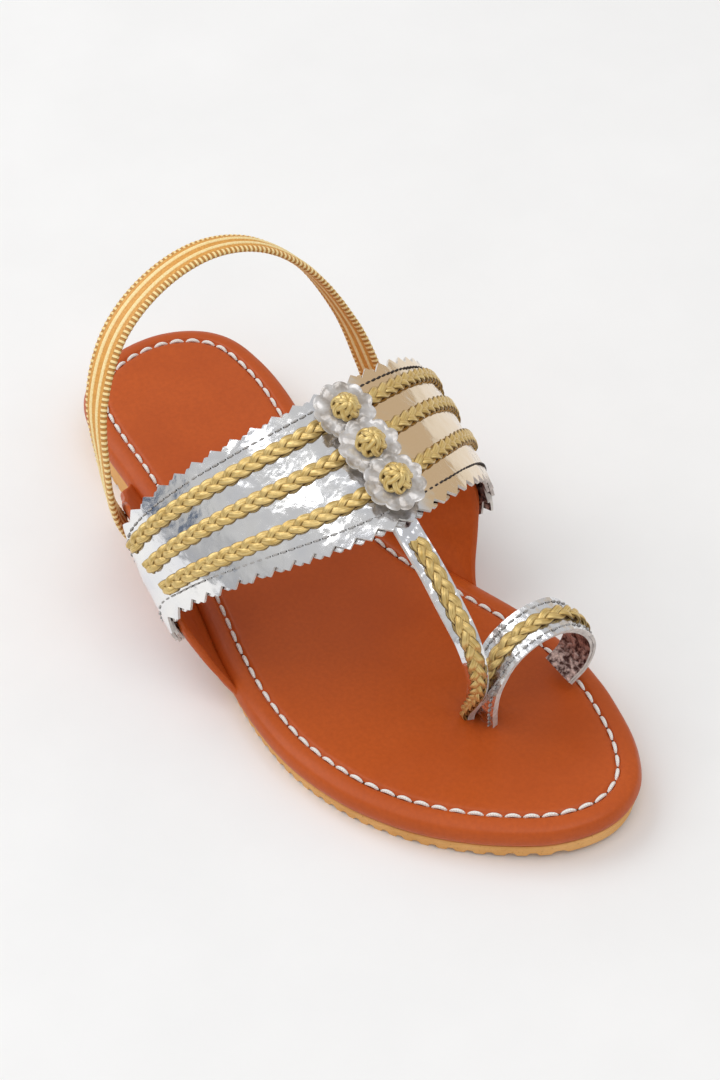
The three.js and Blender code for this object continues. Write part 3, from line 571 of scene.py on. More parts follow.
def strap_frames(steps):
    lift = WING["wall"] / 2 + CLEAR + HEEL_STRAP["wall"] / 2 + HEEL_STRAP["seat"]

    def place(side, share, drop):
        section = wing_section(side, share * SOLE_LENGTH)
        up, out = rim_directions(side, section)
        return section[0, 5] - up[0] * drop + out[0] * lift

    tail = HEEL_STRAP["tail"]
    feet = {side: place(side, STRAP_PLACE[side], tail) for side in (LATERAL, MEDIAL)}
    ends = {side: place(side, STRAP_PLACE[side] - STRAP_PLACE["lead"], 0) for side in (LATERAL, MEDIAL)}
    apex = np.array([STRAP_PLACE["crown"] * SOLE_LENGTH, STRAP_PLACE["crown_out"] * BALL_WIDTH, 0])
    apex[2] = footbed_top(apex[0]) + HEEL_STRAP["height"]
    arch = []
    for k in (-0.9, -0.7, -0.45, -0.2, 0.05, 0.3, 0.55, 0.78, 0.92):
        side = LATERAL if k < 0 else MEDIAL
        end = ends[side]
        quarter = abs(k) * math.pi / 2
        arch.append([
            mix(apex[0], end[0], abs(k) ** 2.15),
            mix(apex[1], end[1], math.sin(quarter)),
            mix(end[2], apex[2], math.cos(quarter) ** STRAP_FULLNESS[side]),
        ])
    run = [feet[LATERAL], ends[LATERAL], *arch, ends[MEDIAL], feet[MEDIAL]]

    def lean(side):
        share = STRAP_PLACE[side]
        step = HEEL_STRAP["width"] / (2 * SOLE_LENGTH)
        across = place(side, share + step, tail) - place(side, share - step, tail)
        return unit(across * np.array([1, 1, 0]))

    t = np.linspace(0, 1, steps)
    path = route_at(run, t)
    along = unit(np.gradient(path, axis=0))
    across = np.broadcast_to(np.array([1, 0, 0.12]), path.shape)
    across = mix(across, lean(LATERAL), 1 - smooth(0.05, 0.3, t)[:, None])
    across = mix(across, lean(MEDIAL), smooth(0.58, 0.88, t)[:, None])
    across = square_to(along, across)
    return path, across, np.cross(across, along)


# Materials
def linear(code, share=1.0):
    """A colour written as in a paint chart, 0xRRGGBB, in linear light, or a share of its light."""
    parts = [((code >> shift) & 255) / 255 for shift in (16, 8, 0)]
    return (*(share * (c / 12.92 if c <= 0.04045 else ((c + 0.055) / 1.055) ** 2.4) for c in parts), 1.0)


def add_node(tree, kind, inputs=None, **settings):
    """A node with its settings, and its inputs linked to sockets or set to values."""
    made = tree.nodes.new(kind)
    for key, value in settings.items():
        setattr(made, key, value)
    for key, value in (inputs or {}).items():
        if isinstance(value, bpy.types.NodeSocket):
            tree.links.new(value, made.inputs[key])
        else:
            made.inputs[key].default_value = value
    return made


class Shader:
    """A material and short ways to add its nodes. Sizes of patterns are in millimetres."""

    def __init__(self, name, **finish):
        self.material = bpy.data.materials.new(name)
        self.material.use_nodes = True
        self.tree = self.material.node_tree
        self.body = self.tree.nodes["Principled BSDF"]
        for socket, value in finish.items():
            self.body.inputs[socket.replace("_", " ")].default_value = value
        place = self.node("ShaderNodeTexCoord").outputs["Object"]
        self.place = self.node("ShaderNodeVectorMath", {0: place, 3: 1000.0}, operation="SCALE").outputs[0]
        self.lay = self.node("ShaderNodeAttribute", attribute_name="lay").outputs["Vector"]

    def node(self, kind, inputs=None, **settings):
        return add_node(self.tree, kind, inputs, **settings)

    def math(self, operation, *values):
        return self.node("ShaderNodeMath", dict(enumerate(values)), operation=operation).outputs[0]

    def noise(self, size, detail, where=None):
        inputs = {"Vector": where or self.place, "Scale": 1 / size, "Detail": detail, "Roughness": 0.55}
        return self.node("ShaderNodeTexNoise", inputs).outputs["Fac"]

    def grain(self, size):
        inputs = {"Vector": self.place, "Scale": 1 / size}
        return self.node("ShaderNodeTexVoronoi", inputs, feature="DISTANCE_TO_EDGE").outputs["Distance"]

    def part_of_lay(self, axis):
        return self.node("ShaderNodeSeparateXYZ", {0: self.lay}).outputs[axis]

    def range(self, value, low, high, to_low=0.0, to_high=1.0):
        inputs = {0: value, 1: low, 2: high, 3: to_low, 4: to_high}
        return self.node("ShaderNodeMapRange", inputs).outputs[0]

    def blend(self, share, a, b):
        return self.node("ShaderNodeMix", {0: share, 6: a, 7: b}, data_type="RGBA").outputs[2]

    def paint(self, socket, value):
        self.tree.links.new(value, self.body.inputs[socket])

    def mottle(self, tones, size, detail, low=0.35, high=0.65):
        return self.blend(self.range(self.noise(size, detail), low, high), *map(linear, tones))

    def bump(self, height, depth_mm, strength, under=None):
        inputs = {"Height": height, "Distance": depth_mm / 1000, "Strength": strength}
        if under is not None:
            inputs["Normal"] = under
        return self.node("ShaderNodeBump", inputs).outputs["Normal"]


def leather_material():
    s = Shader("leather_rust", Roughness=0.42, Specular_IOR_Level=0.27)
    tone = s.mottle((0xB85019, 0xC4591E), 38, 2)
    fleck = s.range(s.noise(1.3, 4), 0.3, 0.75)
    s.paint("Base Color", s.blend(fleck, s.blend(0.5, tone, linear(0xAC4917)), tone))
    s.paint("Roughness", s.range(s.noise(9, 3), 0.3, 0.7, 0.36, 0.48))
    s.paint("Normal", s.bump(s.noise(5, 3), 0.12, 0.35, s.bump(s.grain(0.9), 0.06, 0.35)))
    return s.material


def rubber_material():
    s = Shader("outsole_tan", Roughness=0.7, Specular_IOR_Level=0.3)
    tone = s.mottle((0xE2A75F, 0xEFB873), 14, 4, 0.3, 0.7)
    s.paint("Base Color", s.blend(s.range(s.noise(0.8, 3), 0.62, 0.72), tone, linear(0xC98C48)))
    s.paint("Normal", s.bump(s.noise(0.7, 5), 0.12, 0.6))
    return s.material


def foil_material(name, fine, wave, grip, painted_reflection=None):
    """Metal foil on a soft backing: fine is the depth of its grain, wave of its slow dents."""
    s = Shader(name, Metallic=1.0, Roughness=grip)
    tone = s.mottle((0xE4E5EA, 0xF6F5F3), 16, 3)
    # A beige reflection painted into the foil's colour over a span along the band, fading in and out at each
    # end
    if painted_reflection:
        ends = [[(end + step) * BAND_LENGTH for step in (-0.01, 0.01)] for end in painted_reflection]
        along = s.part_of_lay(0)
        warm = s.math("MULTIPLY", s.range(along, *ends[0]), s.range(along, *ends[1], 1.0, 0.0))
        tone = s.blend(warm, tone, linear(0xEBD6B8))
    s.paint("Base Color", tone)
    s.paint("Roughness", s.range(s.noise(6, 4), 0.35, 0.7, grip * 0.7, grip * 1.5))
    s.paint("Normal", s.bump(s.noise(0.9, 4), fine, 1.0, s.bump(s.noise(7, 2), wave, 1.0)))
    return s.material


def film_material():
    """Clear silvery film of the rosettes."""
    s = Shader("rosette_film", Metallic=0.35, Roughness=0.22, Alpha=0.82, Specular_IOR_Level=0.7)
    s.paint("Base Color", s.mottle((0xB4ABA2, 0xECEAEA), 4.5, 3))
    s.paint("Normal", s.bump(s.noise(1.6, 3), 0.18, 0.7))
    return s.material


def gold_material(name, light, dark, grip):
    s = Shader(name, Metallic=0.5, Roughness=grip)
    fibres = s.node("ShaderNodeVectorMath", {0: s.lay, 1: (0.3, 3.4, 1)}, operation="MULTIPLY").outputs[0]
    streak = s.noise(1.0, 3, fibres)
    # The yarn is lighter where the streaks' bump rises and darker where it sinks: painted highlight and
    # painted shade between the fibres
    yarn = s.blend(s.range(streak, 0.3, 0.7), linear(dark), linear(light))
    # Painted shade along each cord's sides, where it meets and tucks under its neighbours
    cord_edge_shade = s.range(s.math("ABSOLUTE", s.part_of_lay(1)), 0.78, 1.0)
    s.paint("Base Color", s.blend(cord_edge_shade, yarn, linear(0x5E4014)))
    s.paint("Normal", s.bump(streak, 0.2, 0.8))
    return s.material


def thread_material(name, code):
    s = Shader(name, Roughness=0.75, Specular_IOR_Level=0.3)
    inputs = {"Vector": s.lay, "Scale": 0.9}
    twist = s.node("ShaderNodeTexWave", inputs, bands_direction="DIAGONAL").outputs["Fac"]
    # The tone follows the twist's bump: painted shade in the grooves between the plies
    s.paint("Base Color", s.blend(twist, linear(code, 0.82), linear(code)))
    s.paint("Normal", s.bump(twist, 0.12, 0.8))
    return s.material


def plain_material(name, code, rough):
    s = Shader(name, Roughness=rough, Specular_IOR_Level=0.3)
    s.paint("Base Color", s.blend(s.range(s.noise(2, 3), 0.35, 0.65), linear(code, 0.7), linear(code)))
    s.paint("Normal", s.bump(s.noise(2 / 3, 3), 0.1, 0.5))
    return s.material


def elastic_material():
    """Woven elastic: gold yarn with two pale satin ribs and ladders along both edges."""
    s = Shader("elastic_gold", Roughness=0.5, Specular_IOR_Level=0.5)
    turn = s.math("MULTIPLY", s.part_of_lay(0), 2 * math.pi / LADDER_PITCH)
    rung = s.range(s.math("SINE", turn), -0.35, 0.35)
    place = s.math("ABSOLUTE", s.part_of_lay(1))
    weave = s.range(s.noise(0.5, 3), 0.35, 0.65)
    ground = s.blend(weave, linear(0xD08F3C), linear(0xE8AC56))
    pale = s.blend(weave, linear(0xF6D88E), linear(0xFFEDBA))
    off_rib = s.math("ABSOLUTE", s.math("SUBTRACT", place, ELASTIC_RIB["out"]))
    near_rib = s.range(off_rib, 0.55, 0.8, 1.0, 0.0)
    edge = s.range(place, 3.5, 3.7)
    ladder = s.blend(rung, linear(0xC08436), linear(0xFFE4A4))
    s.paint("Base Color", s.blend(edge, s.blend(near_rib, ground, pale), ladder))
    fine = s.bump(s.noise(0.35, 2), 0.08, 0.6)
    s.paint("Normal", s.bump(s.math("MULTIPLY", rung, edge), 0.25, 0.8, fine))
    return s.material


def lining_material():
    """Dark pinkish brown metallic lining, finely crinkled, with painted shade in the crinkles and painted
    highlight on their ridges.
    """
    s = Shader("lining_brown", Roughness=0.3, Metallic=0.75)
    # Tone and bump come from the same noise: darker where the crinkles sink, lighter where they rise, painted
    # shade and highlight
    s.paint("Base Color", s.mottle((0x4A302C, 0xD8BDB4), 1.5, 4, 0.4, 0.62))
    s.paint("Normal", s.bump(s.noise(1.5, 4), 0.9, 1.0))
    return s.material


def floor_material():
    s = Shader("floor_pale", Roughness=0.85, Specular_IOR_Level=0.2)
    s.paint("Base Color", s.mottle((0xF1F1F1, 0xF5F5F5), 60, 4, 0.3, 0.7))
    s.paint("Normal", s.bump(s.noise(1.6, 3), 0.1, 0.25))
    return s.material


LEATHER = leather_material()
RUBBER = rubber_material()
FOIL = foil_material("foil_silver", 0.035, 0.5, 0.13, PAINTED_REFLECTION_SPAN)
CRUSHED_FOIL = foil_material("foil_crushed", 0.12, 1.4, 0.2)
FILM = film_material()
CUT_EDGE = plain_material("foil_cut_edge", 0xE6E2DC, 0.5)
GOLD = gold_material("gold_plait", 0xF2D896, 0xC09A4E, 0.3)
KNOT_GOLD = gold_material("gold_knot", 0xF6E0A0, 0xC49C48, 0.25)
# Dark sheets and domes under the plaits and knots: painted shade that shows between their cords
GOLD_SHADOW = plain_material("gold_shadow", 0x5A3C16, 0.6)
WHITE_THREAD = thread_material("thread_white", 0xFFFCF6)
GREY_THREAD = thread_material("thread_grey", 0xB9B6B4)
# A dark copy of the grey thread for the band's medial stitches: painted shade
SHADED_THREAD = thread_material("thread_shaded", 0x4A4240)
# Flat dark discs at the stitches' ends: painted shade of the needle holes
NEEDLE_HOLE_SHADE = plain_material("needle_hole", 0x3A1A0C, 0.9)
DARK_HOLE_SHADE = plain_material("needle_hole_dark", 0x1C1A1C, 0.8)
ELASTIC = elastic_material()
LINING = lining_material()


# Sole pieces
def sole_rings(turn, profile):
    """Rings round the outline, one for each inset and height."""
    out = outline_outward(turn)
    rings = []
    for inset, height in profile:
        ring = outline_point(turn) - out * inset
        ring[:, 2] = height(ring[:, 0])
        rings.append(ring)
    return np.stack(rings)


def cap(ring, columns, drop=None):
    """Fills a ring from its lateral half to its medial half, with rows of columns at equal x."""
    half = len(ring) // 2
    lateral = ring[: half + 1]
    medial = np.vstack([ring[:1], ring[:half - 1:-1]])
    share = np.linspace(0, 1, columns)[None, :, None]
    grid = mix(lateral[:, None], medial[:, None], share)
    if drop is not None:
        grid[..., 2] += drop(grid[..., 0], grid[..., 1])
    return patch(grid, grid_faces(*grid.shape[:2], False))


def groove_height(x):
    """Depth of the grooves between the ribs under the sole."""
    nearest = np.round(x / RIB["pitch"]) * RIB["pitch"]
    ramp = (RIB["foot"] / 2 - np.abs(x - nearest)) / ((RIB["foot"] - RIB["root"]) / 2)
    inside = (x > RIB["pitch"] / 2) & (x < SOLE_LENGTH - RIB["pitch"])
    return RIB["depth"] * np.clip(ramp, 0, 1) * inside


def build_outsole():
    steps = 1400
    lip, inset = OUTSOLE["lip"], OUTSOLE["inset"]

    def share_up(share, down=0.0):
        return lambda x: mix(outsole_bottom(x), outsole_top(x), share) - down

    def ribbed(x):
        return outsole_bottom(x) + groove_height(x)

    rings = sole_rings(full_turn(steps), [
        (inset + lip * 1.6, ribbed),
        (inset + lip, ribbed),
        (inset + lip * 0.9, lambda x: outsole_bottom(x) + np.maximum(groove_height(x) + 0.15, 0.35)),
        (inset + lip * 0.6, share_up(0.42)),
        (inset + lip * 0.25, share_up(0.7)),
        (inset, share_up(1, lip * 1.25)),
        (inset + lip * 0.1, share_up(1, lip * 0.6)),
        (inset + lip * 0.4, share_up(1, lip * 0.15)),
        (inset + lip, share_up(1)),
        (inset + lip * 4, share_up(1)),
    ])
    patches = [patch(rings, grid_faces(len(rings), steps, True)), cap(rings[0], 9), cap(rings[-1], 9)]
    make_piece("outsole_moulded", patches, [RUBBER], ["outsole"], crease=35)


SEAM = FOOTBED["seam_inset"]
SEAM_SHARE = FOOTBED["seam_depth"] / FOOTBED["thickness"]
# Section of the footbed's rim: inset from the edge, share of the thickness
FOOTBED_PROFILE = np.array([
    (4, 0), (1.6, 0), (0.3, 0.2), (0, 0.44), (0.7, 0.76), (2.2, 0.92), (4.2, 0.995), (5.7, 0.985),
    (SEAM - 0.5, 1 - 0.8 * SEAM_SHARE), (SEAM, 1 - SEAM_SHARE), (SEAM + 0.5, 1 - 0.8 * SEAM_SHARE),
    (SEAM + 1.3, 0.985), (SEAM + 3, 1.005), (SEAM + 7, 0.99), (SEAM + 13, 0.97),
])


def slot_dimple(x, y):
    """The footbed sinks and puckers where the toe post goes through it."""
    dx = x - (SLOT["at"] * SOLE_LENGTH - 2)
    dy = y - SLOT["out"] * BALL_WIDTH
    reach = np.hypot(dx / 1.25, dy)
    spokes = np.cos(7 * np.arctan2(dy, dx) + 0.6)
    return -1.3 * np.exp(-((reach / 4.2) ** 2)) + 0.22 * spokes * np.exp(-((reach - 7) ** 2) / 16)


def footbed_height(share):
    return lambda x: outsole_top(x) + CLEAR + FOOTBED["thickness"] * share


def build_footbed():
    steps = 840
    fine = route_at(
        np.column_stack([FOOTBED_PROFILE, np.zeros(len(FOOTBED_PROFILE))]),
        np.linspace(0, 1, 3 * len(FOOTBED_PROFILE)),
    )
    rings = sole_rings(full_turn(steps), [(inset, footbed_height(share)) for inset, share, _ in fine])
    soft = ripple(rings[..., 0], rings[..., 1], 30, 4) * 0.12
    rings[..., 2] += soft * smooth(0, 6, fine[:, 0])[:, None]
    rim = patch(rings, grid_faces(len(rings), steps, True))
    patches = [rim, cap(rings[-1], 44, slot_dimple), cap(rings[0], 5)]
    make_piece("footbed_padded", patches, [LEATHER], ["footbed"], crease=60)


def build_footbed_stitches():
    turn = np.linspace(0, 2 * math.pi, 1600)
    path = sole_rings(turn, [(SEAM, footbed_height(1 - SEAM_SHARE))])[0]
    normals = np.broadcast_to(np.array([0.0, 0.0, 1.0]), path.shape)
    row = stitch_row(path, normals, SEAM_STITCH, -0.15)
    make_piece("footbed_stitching", row, [WHITE_THREAD, NEEDLE_HOLE_SHADE])


# Wings
def build_wing(side, name, node):
    rows = WING_RIM[side]
    x = np.linspace(rows[0, 0], rows[-1, 0], 150) * SOLE_LENGTH
    sections = wing_section(side, x)
    t = np.linspace(0, 1, 34)
    fine = np.stack([route_at(section, t) for section in sections])
    height = (fine[..., 2] - footbed_top(x)[:, None]) / WING["height"]
    whole = smooth(0, 22, np.minimum(x - x[0], x[-1] - x))[:, None]
    hidden = edge_y(side, x)[:, None] - side * 2.5
    fine[..., 1] = mix(hidden, fine[..., 1], whole)
    fine[..., 2] = mix((outsole_top(x) + 1.8)[:, None], fine[..., 2], whole)
    along = unit(np.gradient(fine, axis=1) + np.array([0, 0, 1e-3]))
    normal = stack(0, along[..., 2] * side, -along[..., 1] * side)
    puff = ripple(fine[..., 0], fine[..., 2], 16, 11 + side) * 0.22 * smooth(-0.1, 0.2, height)
    fine = fine + normal * puff[..., None]
    round_off = np.ones(len(t))
    round_off[-3:] = 0.95, 0.75, 0.35
    wall = normal * (WING["wall"] / 2 * mix(0.3, 1, whole) * round_off)[..., None]
    ring = np.concatenate([fine + wall, (fine - wall)[:, ::-1]], axis=1)
    lay = stack(ring[..., 0], ring[..., 1], np.concatenate([height, height[:, ::-1]], axis=1))
    count = ring.shape[1]
    faces = list(grid_faces(len(ring), count, True))
    for start in (0, (len(ring) - 1) * count):
        faces += [
            [start + i, start + i + 1, start + count - 2 - i, start + count - 1 - i]
            for i in range(count // 2 - 1)
        ]
    make_piece(name, [patch(ring, faces, lay)], [LEATHER], [node], crease=50)


# Band
def tooth(u, shift=0.0):
    """Height of the pinked edge, from 0 in a notch to 1 at a tip."""
    phase = (u * BAND_TEETH + shift) % 1
    return 1 - np.abs(2 * phase - 1)


def foil_dents(u, v):
    """Soft dents of the stretched foil, in mm."""
    a, b = u * BAND_LENGTH, v * BAND_ACROSS
    return 0.16 * ripple(a, b, 22, 21) + 0.07 * ripple(a, b, 7, 22)


def build_band_layer(name, replaces, low, high, shift, reach, dent):
    """One layer of the band, between two lifts, with pinked edges."""
    per_tooth = 8
    u = np.linspace(0, 1, BAND_TEETH * per_tooth + 1)
    v = np.concatenate([[0], np.linspace(0.015, 0.985, 34), [1]])
    grid_u, grid_v = np.meshgrid(u, v)
    zig = PINKING["depth"] * tooth(grid_u, shift) + reach
    width = band_width(u)[None, :]
    past = np.where(grid_v == 0, -zig / width, np.where(grid_v == 1, zig / width, 0))
    lift = dent * foil_dents(grid_u, grid_v)
    top, bottom = (on_band(grid_u, grid_v + past, level + lift)[0] for level in (high, low))
    lay = stack(grid_u * BAND_LENGTH, (grid_v + past) * BAND_ACROSS, 0)
    layer = sheet(top, bottom, lay, 0, 1, 2)
    make_piece(name, layer, [FOIL, LINING, CUT_EDGE], replaces, crease=30)


def band_seam(edge, from_u, to_u):
    """Stitches along the band's rear or front edge."""
    u = np.linspace(from_u, to_u, 500)
    inset = BAND_SEAM_INSET[edge] / band_width(u)
    v = inset if edge == "rear" else 1 - inset
    path, normals = on_band(u, v, BAND["wall"] / 2 + 0.02)
    return stitch_row(path, normals, FINE_STITCH, 0.1)


def build_band_stitches():
    # The medial half's stitches are the grey thread in a dark copy: painted shade
    for name, thread, span in (
        ("band_stitching", GREY_THREAD, (0.03, 0.535)), ("band_stitching_medial", SHADED_THREAD, (0.537, 0.97)),
    ):
        make_piece(name, band_seam("rear", *span) + band_seam("front", *span), [thread, DARK_HOLE_SHADE])


# Plaits
def plait_strands(path, across, normal, lift, width, phase):
    """Three flat cords plaited along a path: each swings from side to side and over its neighbours."""
    run = lengths_along(path)
    width = np.broadcast_to(width, run.shape)
    cord = width * PLAIT["cord"]
    swing = width / 2 - cord
    thick = (BRAID["base"] + BRAID["strand"]) * PLAIT["thick"]
    section = round_profile(1, 12)
    made = []
    for k in range(3):
        angle = 2 * math.pi * (run / PLAIT["period"] + k / 3) + phase
        side = swing * np.sin(angle)
        height = lift + thick * 1.15 + thick * 0.95 * np.sin(2 * angle)
        line = path + across * side[:, None] + normal * height[:, None]
        turn_across, turn_normal = frames_along(line, normal)
        profile = section[None] * np.stack([cord, np.full_like(cord, thick)], axis=1)[:, None]
        lay = stack(run[:, None], section[None, :, 0], k)
        made.append(sweep(line, turn_across, turn_normal, profile, lay=lay))
    return made


def plait_bed(path, across, normal, lift, width):
    """A dark sheet under a plait: painted shade that shows in the gaps between its cords."""
    top = lift + 0.45
    shape = [(-1, top - 0.3), (-0.7, top), (0.7, top), (1, top - 0.3), (1, lift), (-1, lift)]
    half = np.broadcast_to(width, len(path))[:, None] * 0.4
    profile = np.stack([
        half * np.array([side for side, _ in shape]),
        np.broadcast_to([up for _, up in shape], (len(path), len(shape))),
    ], axis=-1)
    return sweep(path, across, normal, profile, 1)


def build_plait(name, node, path, across, normal, wall, width, phase=0.0):
    """A plait and its bed, on a strap of the given wall."""
    strands = plait_strands(path, across, normal, wall / 2, width, phase)
    bed = plait_bed(path, across, normal, wall / 2 - 0.1, width)
    make_piece(name, [*strands, bed], [GOLD, GOLD_SHADOW], [node], crease=60)


def plait_place(row, u):
    """A plait's place across the band at u: a curve through its two ends and its crest."""
    lateral, crest, medial, _ = BRAID_ROWS[row]
    t = (2 * u - sum(BRAID_ENDS)) / (BRAID_ENDS[1] - BRAID_ENDS[0])
    return crest + (medial - lateral) / 2 * t + ((medial + lateral) / 2 - crest) * t * t


def build_band_plait(row, number):
    u = np.linspace(BRAID_ENDS[0] - PLAIT["over"], BRAID_ENDS[1] + PLAIT["over"], 520)
    v = plait_place(row, u)
    path, normal = on_band(u, v)
    across = unit(on_band(u, v + 0.04)[0] - on_band(u, v - 0.04)[0])
    name, node = "plait_" + row, "braid_" + row
    build_plait(name, node, path, across, normal, BAND["wall"], PLAIT["width"], 2.1 * number)


# Rosettes and their knots
def crest_share(v):
    target = BALL_WIDTH * mix(BAND_EDGE["rear"]["crest_out"], BAND_EDGE["front"]["crest_out"], v)
    u = np.linspace(0.3, 0.7, 2001)
    y = on_band(u, v)[0][:, 1]
    return float(u[np.argmin(np.abs(y - target))])


def rosette_frame(v):
    u = crest_share(v)
    point, normal = on_band(u, v)
    forward = unit(on_band(u, v + 0.05)[0] - on_band(u, v - 0.05)[0])
    side = unit(np.cross(normal, forward))
    tilt = math.radians(ROSETTE["tilt"])
    leaned = normal * math.cos(tilt) + forward * math.sin(tilt)
    lift = BAND["wall"] / 2 + BRAID["seat"] + BRAID["base"] + BRAID["strand"] + CLEAR
    lift += ROSETTE["diameter"] / 2 * math.sin(tilt) * 0.3
    return point + normal * lift, -np.cross(leaned, side), side, leaned


def build_rosette(row, v, seed):
    seat, forward, side, up = rosette_frame(v)
    around, rings = 264, 20
    turn = full_turn(around)
    share = np.linspace(0.12, 1, rings)[:, None]
    lobe = np.abs(np.cos(ROSETTE["scallops"] * turn / 2)) ** 0.7
    radius = ROSETTE["diameter"] / 2 - ROSETTE["scallop_depth"] * (1 - lobe)
    radius = radius + 0.3 * ripple(3 * np.cos(turn), 3 * np.sin(turn), 3, seed)
    x = radius * share * np.cos(turn)
    y = radius * share * np.sin(turn)
    folds = 0.2 * np.cos(ROSETTE["scallops"] * turn) * share**3
    crush = 0.32 * ripple(x, y, 7, seed + 1) * share + 0.06 * ripple(x, y, 3, seed + 2) * share
    lip = 0.35 * smooth(0.86, 0.97, share)
    z = 0.75 + folds + crush + lip - 0.5 * share**2

    def lifted(height):
        return seat + forward * x[..., None] + side * y[..., None] + up * (z + height)[..., None]

    faces = grid_faces(rings, around, True)
    top, bottom = lifted(0.2), lifted(-0.2)
    patches = [patch(top, faces), patch(bottom, faces[:, ::-1])]
    for ring in (-1, 0):
        patches.append(patch(np.stack([top[ring], bottom[ring]]), grid_faces(2, around, True), None, 1))
    name, node = "rosette_foil_" + row, "rosette_" + row
    make_piece(name, patches, [FILM, CUT_EDGE], [node], crease=70)


def build_knot(row, v, seed, share):
    """A woven button: one cord laid over and under itself round a dome."""
    seat, forward, side, up = rosette_frame(v)
    base = seat + up * (ROSETTE["wall"] + CLEAR - 0.2)
    radius = KNOT["diameter"] / 2 * share - KNOT_CORD
    height = KNOT["height"] * share - KNOT_CORD * 1.4

    def dome(flat, turn, rise):
        level = forward * (flat * np.cos(turn))[..., None] + side * (flat * np.sin(turn))[..., None]
        return base + level + up * (rise + 0 * turn)[..., None]

    t = np.linspace(0, 6 * math.pi, 700, endpoint=False)
    weave = 7 * t / 3 + seed
    slope = np.radians(50) + np.radians(36) * np.sin(weave)
    lift = 1 + 0.085 * np.sin(2 * weave)
    path = dome(radius * np.sin(slope) * lift, t, height * np.cos(slope) * lift + 0.5)
    across, normal = frames_along(path, unit(path - (base + up * 0.6)), closed=True)
    section = round_profile(1, 10)
    lay = stack(lengths_along(path)[:, None], section[None, :, 0], 0)
    profile = section * (KNOT_CORD, KNOT_CORD * 0.8)
    cord = sweep(path, across, normal, profile, closed_run=True, lay=lay)
    # A dark dome under the cord: painted shade that shows in the gaps of the weave
    rise = np.linspace(0, math.pi / 2, 8)[:, None]
    core = dome(radius * 0.92 * np.cos(rise), full_turn(24), height * 0.92 * np.sin(rise) + 0.2)
    name, node = "knot_cord_" + row, "knot_" + row
    make_piece(name, [cord, loft(core, None, 1)], [KNOT_GOLD, GOLD_SHADOW], [node], crease=60)


# Thong and toe loop
def layered_strip(path, across, normal, width, low, high, dent, material, edge):
    """A layer of a strap: crinkled faces and cut edges, between two lifts."""
    columns = np.linspace(-0.5, 0.5, 15)
    run = lengths_along(path)[:, None]
    place = columns[None, :] * np.broadcast_to(width, len(path))[:, None]
    wrinkle = dent * (0.6 * ripple(run, place, 6, 31) + 0.4 * ripple(run, place, 2.4, 32))
    wrinkle = wrinkle * (1 - (2 * np.abs(columns)) ** 6)

    def face(lift):
        level = path[:, None] + across[:, None] * place[..., None]
        return level + normal[:, None] * (lift + wrinkle)[..., None]

    return sheet(face(high), face(low), stack(run, place, 0), material, material, edge)


def build_thong():
    path, across, normal, width = thong_frames(260)
    half = THONG["wall"] / 2
    strip = layered_strip(path, across, normal, width, 0.0, half, 0.18, 0, 2)
    back = layered_strip(path, across, normal, width * 0.97, -half, -0.05, 0.1, 1, 2)
    make_piece("thong_strip", strip + back, [FOIL, LINING, CUT_EDGE], crease=30)
    path, across, normal, width = thong_frames(520, 0.13, 0.93)
    path, width = path + across * 0.4, np.minimum(PLAIT["width"], 0.84 * width)
    build_plait("thong_plait", "thong_braid", path, across, normal, THONG["wall"], width)


def build_loop():
    path, across, normal = loop_frames(300)
    half = LOOP["wall"] / 2
    width = LOOP["width"]
    outer = layered_strip(path, across, normal, width, 0.05, half, 0.3, 0, 1)
    make_piece("toe_loop_foil", outer, [CRUSHED_FOIL, CUT_EDGE], crease=30)
    inner = layered_strip(path, across, normal, width * 0.96, -half, 0.0, 0.12, 0, 1)
    make_piece("toe_loop_lining", inner, [LINING, CUT_EDGE], crease=30)
    rows = []
    for side in (-1, 1):
        start = path + across * side * (width / 2 - 1.6) + normal * (half + 0.05)
        rows += stitch_row(start[25:-4], normal[25:-4], FINE_STITCH, 0.1)
    make_piece("toe_loop_stitching", rows, [GREY_THREAD, DARK_HOLE_SHADE])
    path, across, normal = loop_frames(620, 0.24, 0.985)
    build_plait("loop_plait", "loop_braid", path, across, normal, LOOP["wall"], BRAID["width"], 1.1)


# Heel strap
def build_heel_strap():
    path, across, normal = strap_frames(900)
    total = lengths_along(path)[-1]
    count = int(total / LADDER_PITCH) * 6
    path, across, normal = resample(path, np.linspace(0, total, count), across, normal)
    across, normal = unit(across), unit(normal)
    run = lengths_along(path)[:, None]
    half_width, half = HEEL_STRAP["width"] / 2, HEEL_STRAP["wall"] / 2
    place = np.linspace(-1, 1, 31)[None, :] * half_width
    off_rib = (np.abs(place) - ELASTIC_RIB["out"]) / ELASTIC_RIB["half"]
    ribs = HEEL_STRAP["rib"] * np.exp(-(off_rib**4))
    rung = 0.5 + 0.5 * np.sin(2 * math.pi * run / LADDER_PITCH)
    border = smooth(half_width - 1.9, half_width - 1.5, np.abs(place))
    round_off = 0.45 * smooth(half_width - 0.9, half_width, np.abs(place))
    top = half + ribs + border * (0.22 * rung - 0.08) - round_off
    bottom = round_off - half - 0.7 * ribs - 0.1 * border * rung
    wide = place * (1 + 0.012 * (rung - 0.5))
    faces = [np.stack([wide, level], axis=-1) for level in (top, bottom)]
    strap = sweep(path, across, normal, np.concatenate([faces[0], faces[1][:, ::-1]], axis=1))
    make_piece("elastic_strap", [strap], [ELASTIC], ["heel_strap"], crease=70)


# Floor, light and camera
def build_floor():
    mesh = bpy.data.meshes.new("floor")
    corners = [(x * FLOOR_REACH, y * FLOOR_REACH, 0) for x, y in ((-1, -1), (1, -1), (1, 1), (-1, 1))]
    mesh.from_pydata(corners, [], [(0, 1, 2, 3)])
    mesh.materials.append(floor_material())
    add_object("floor", mesh)


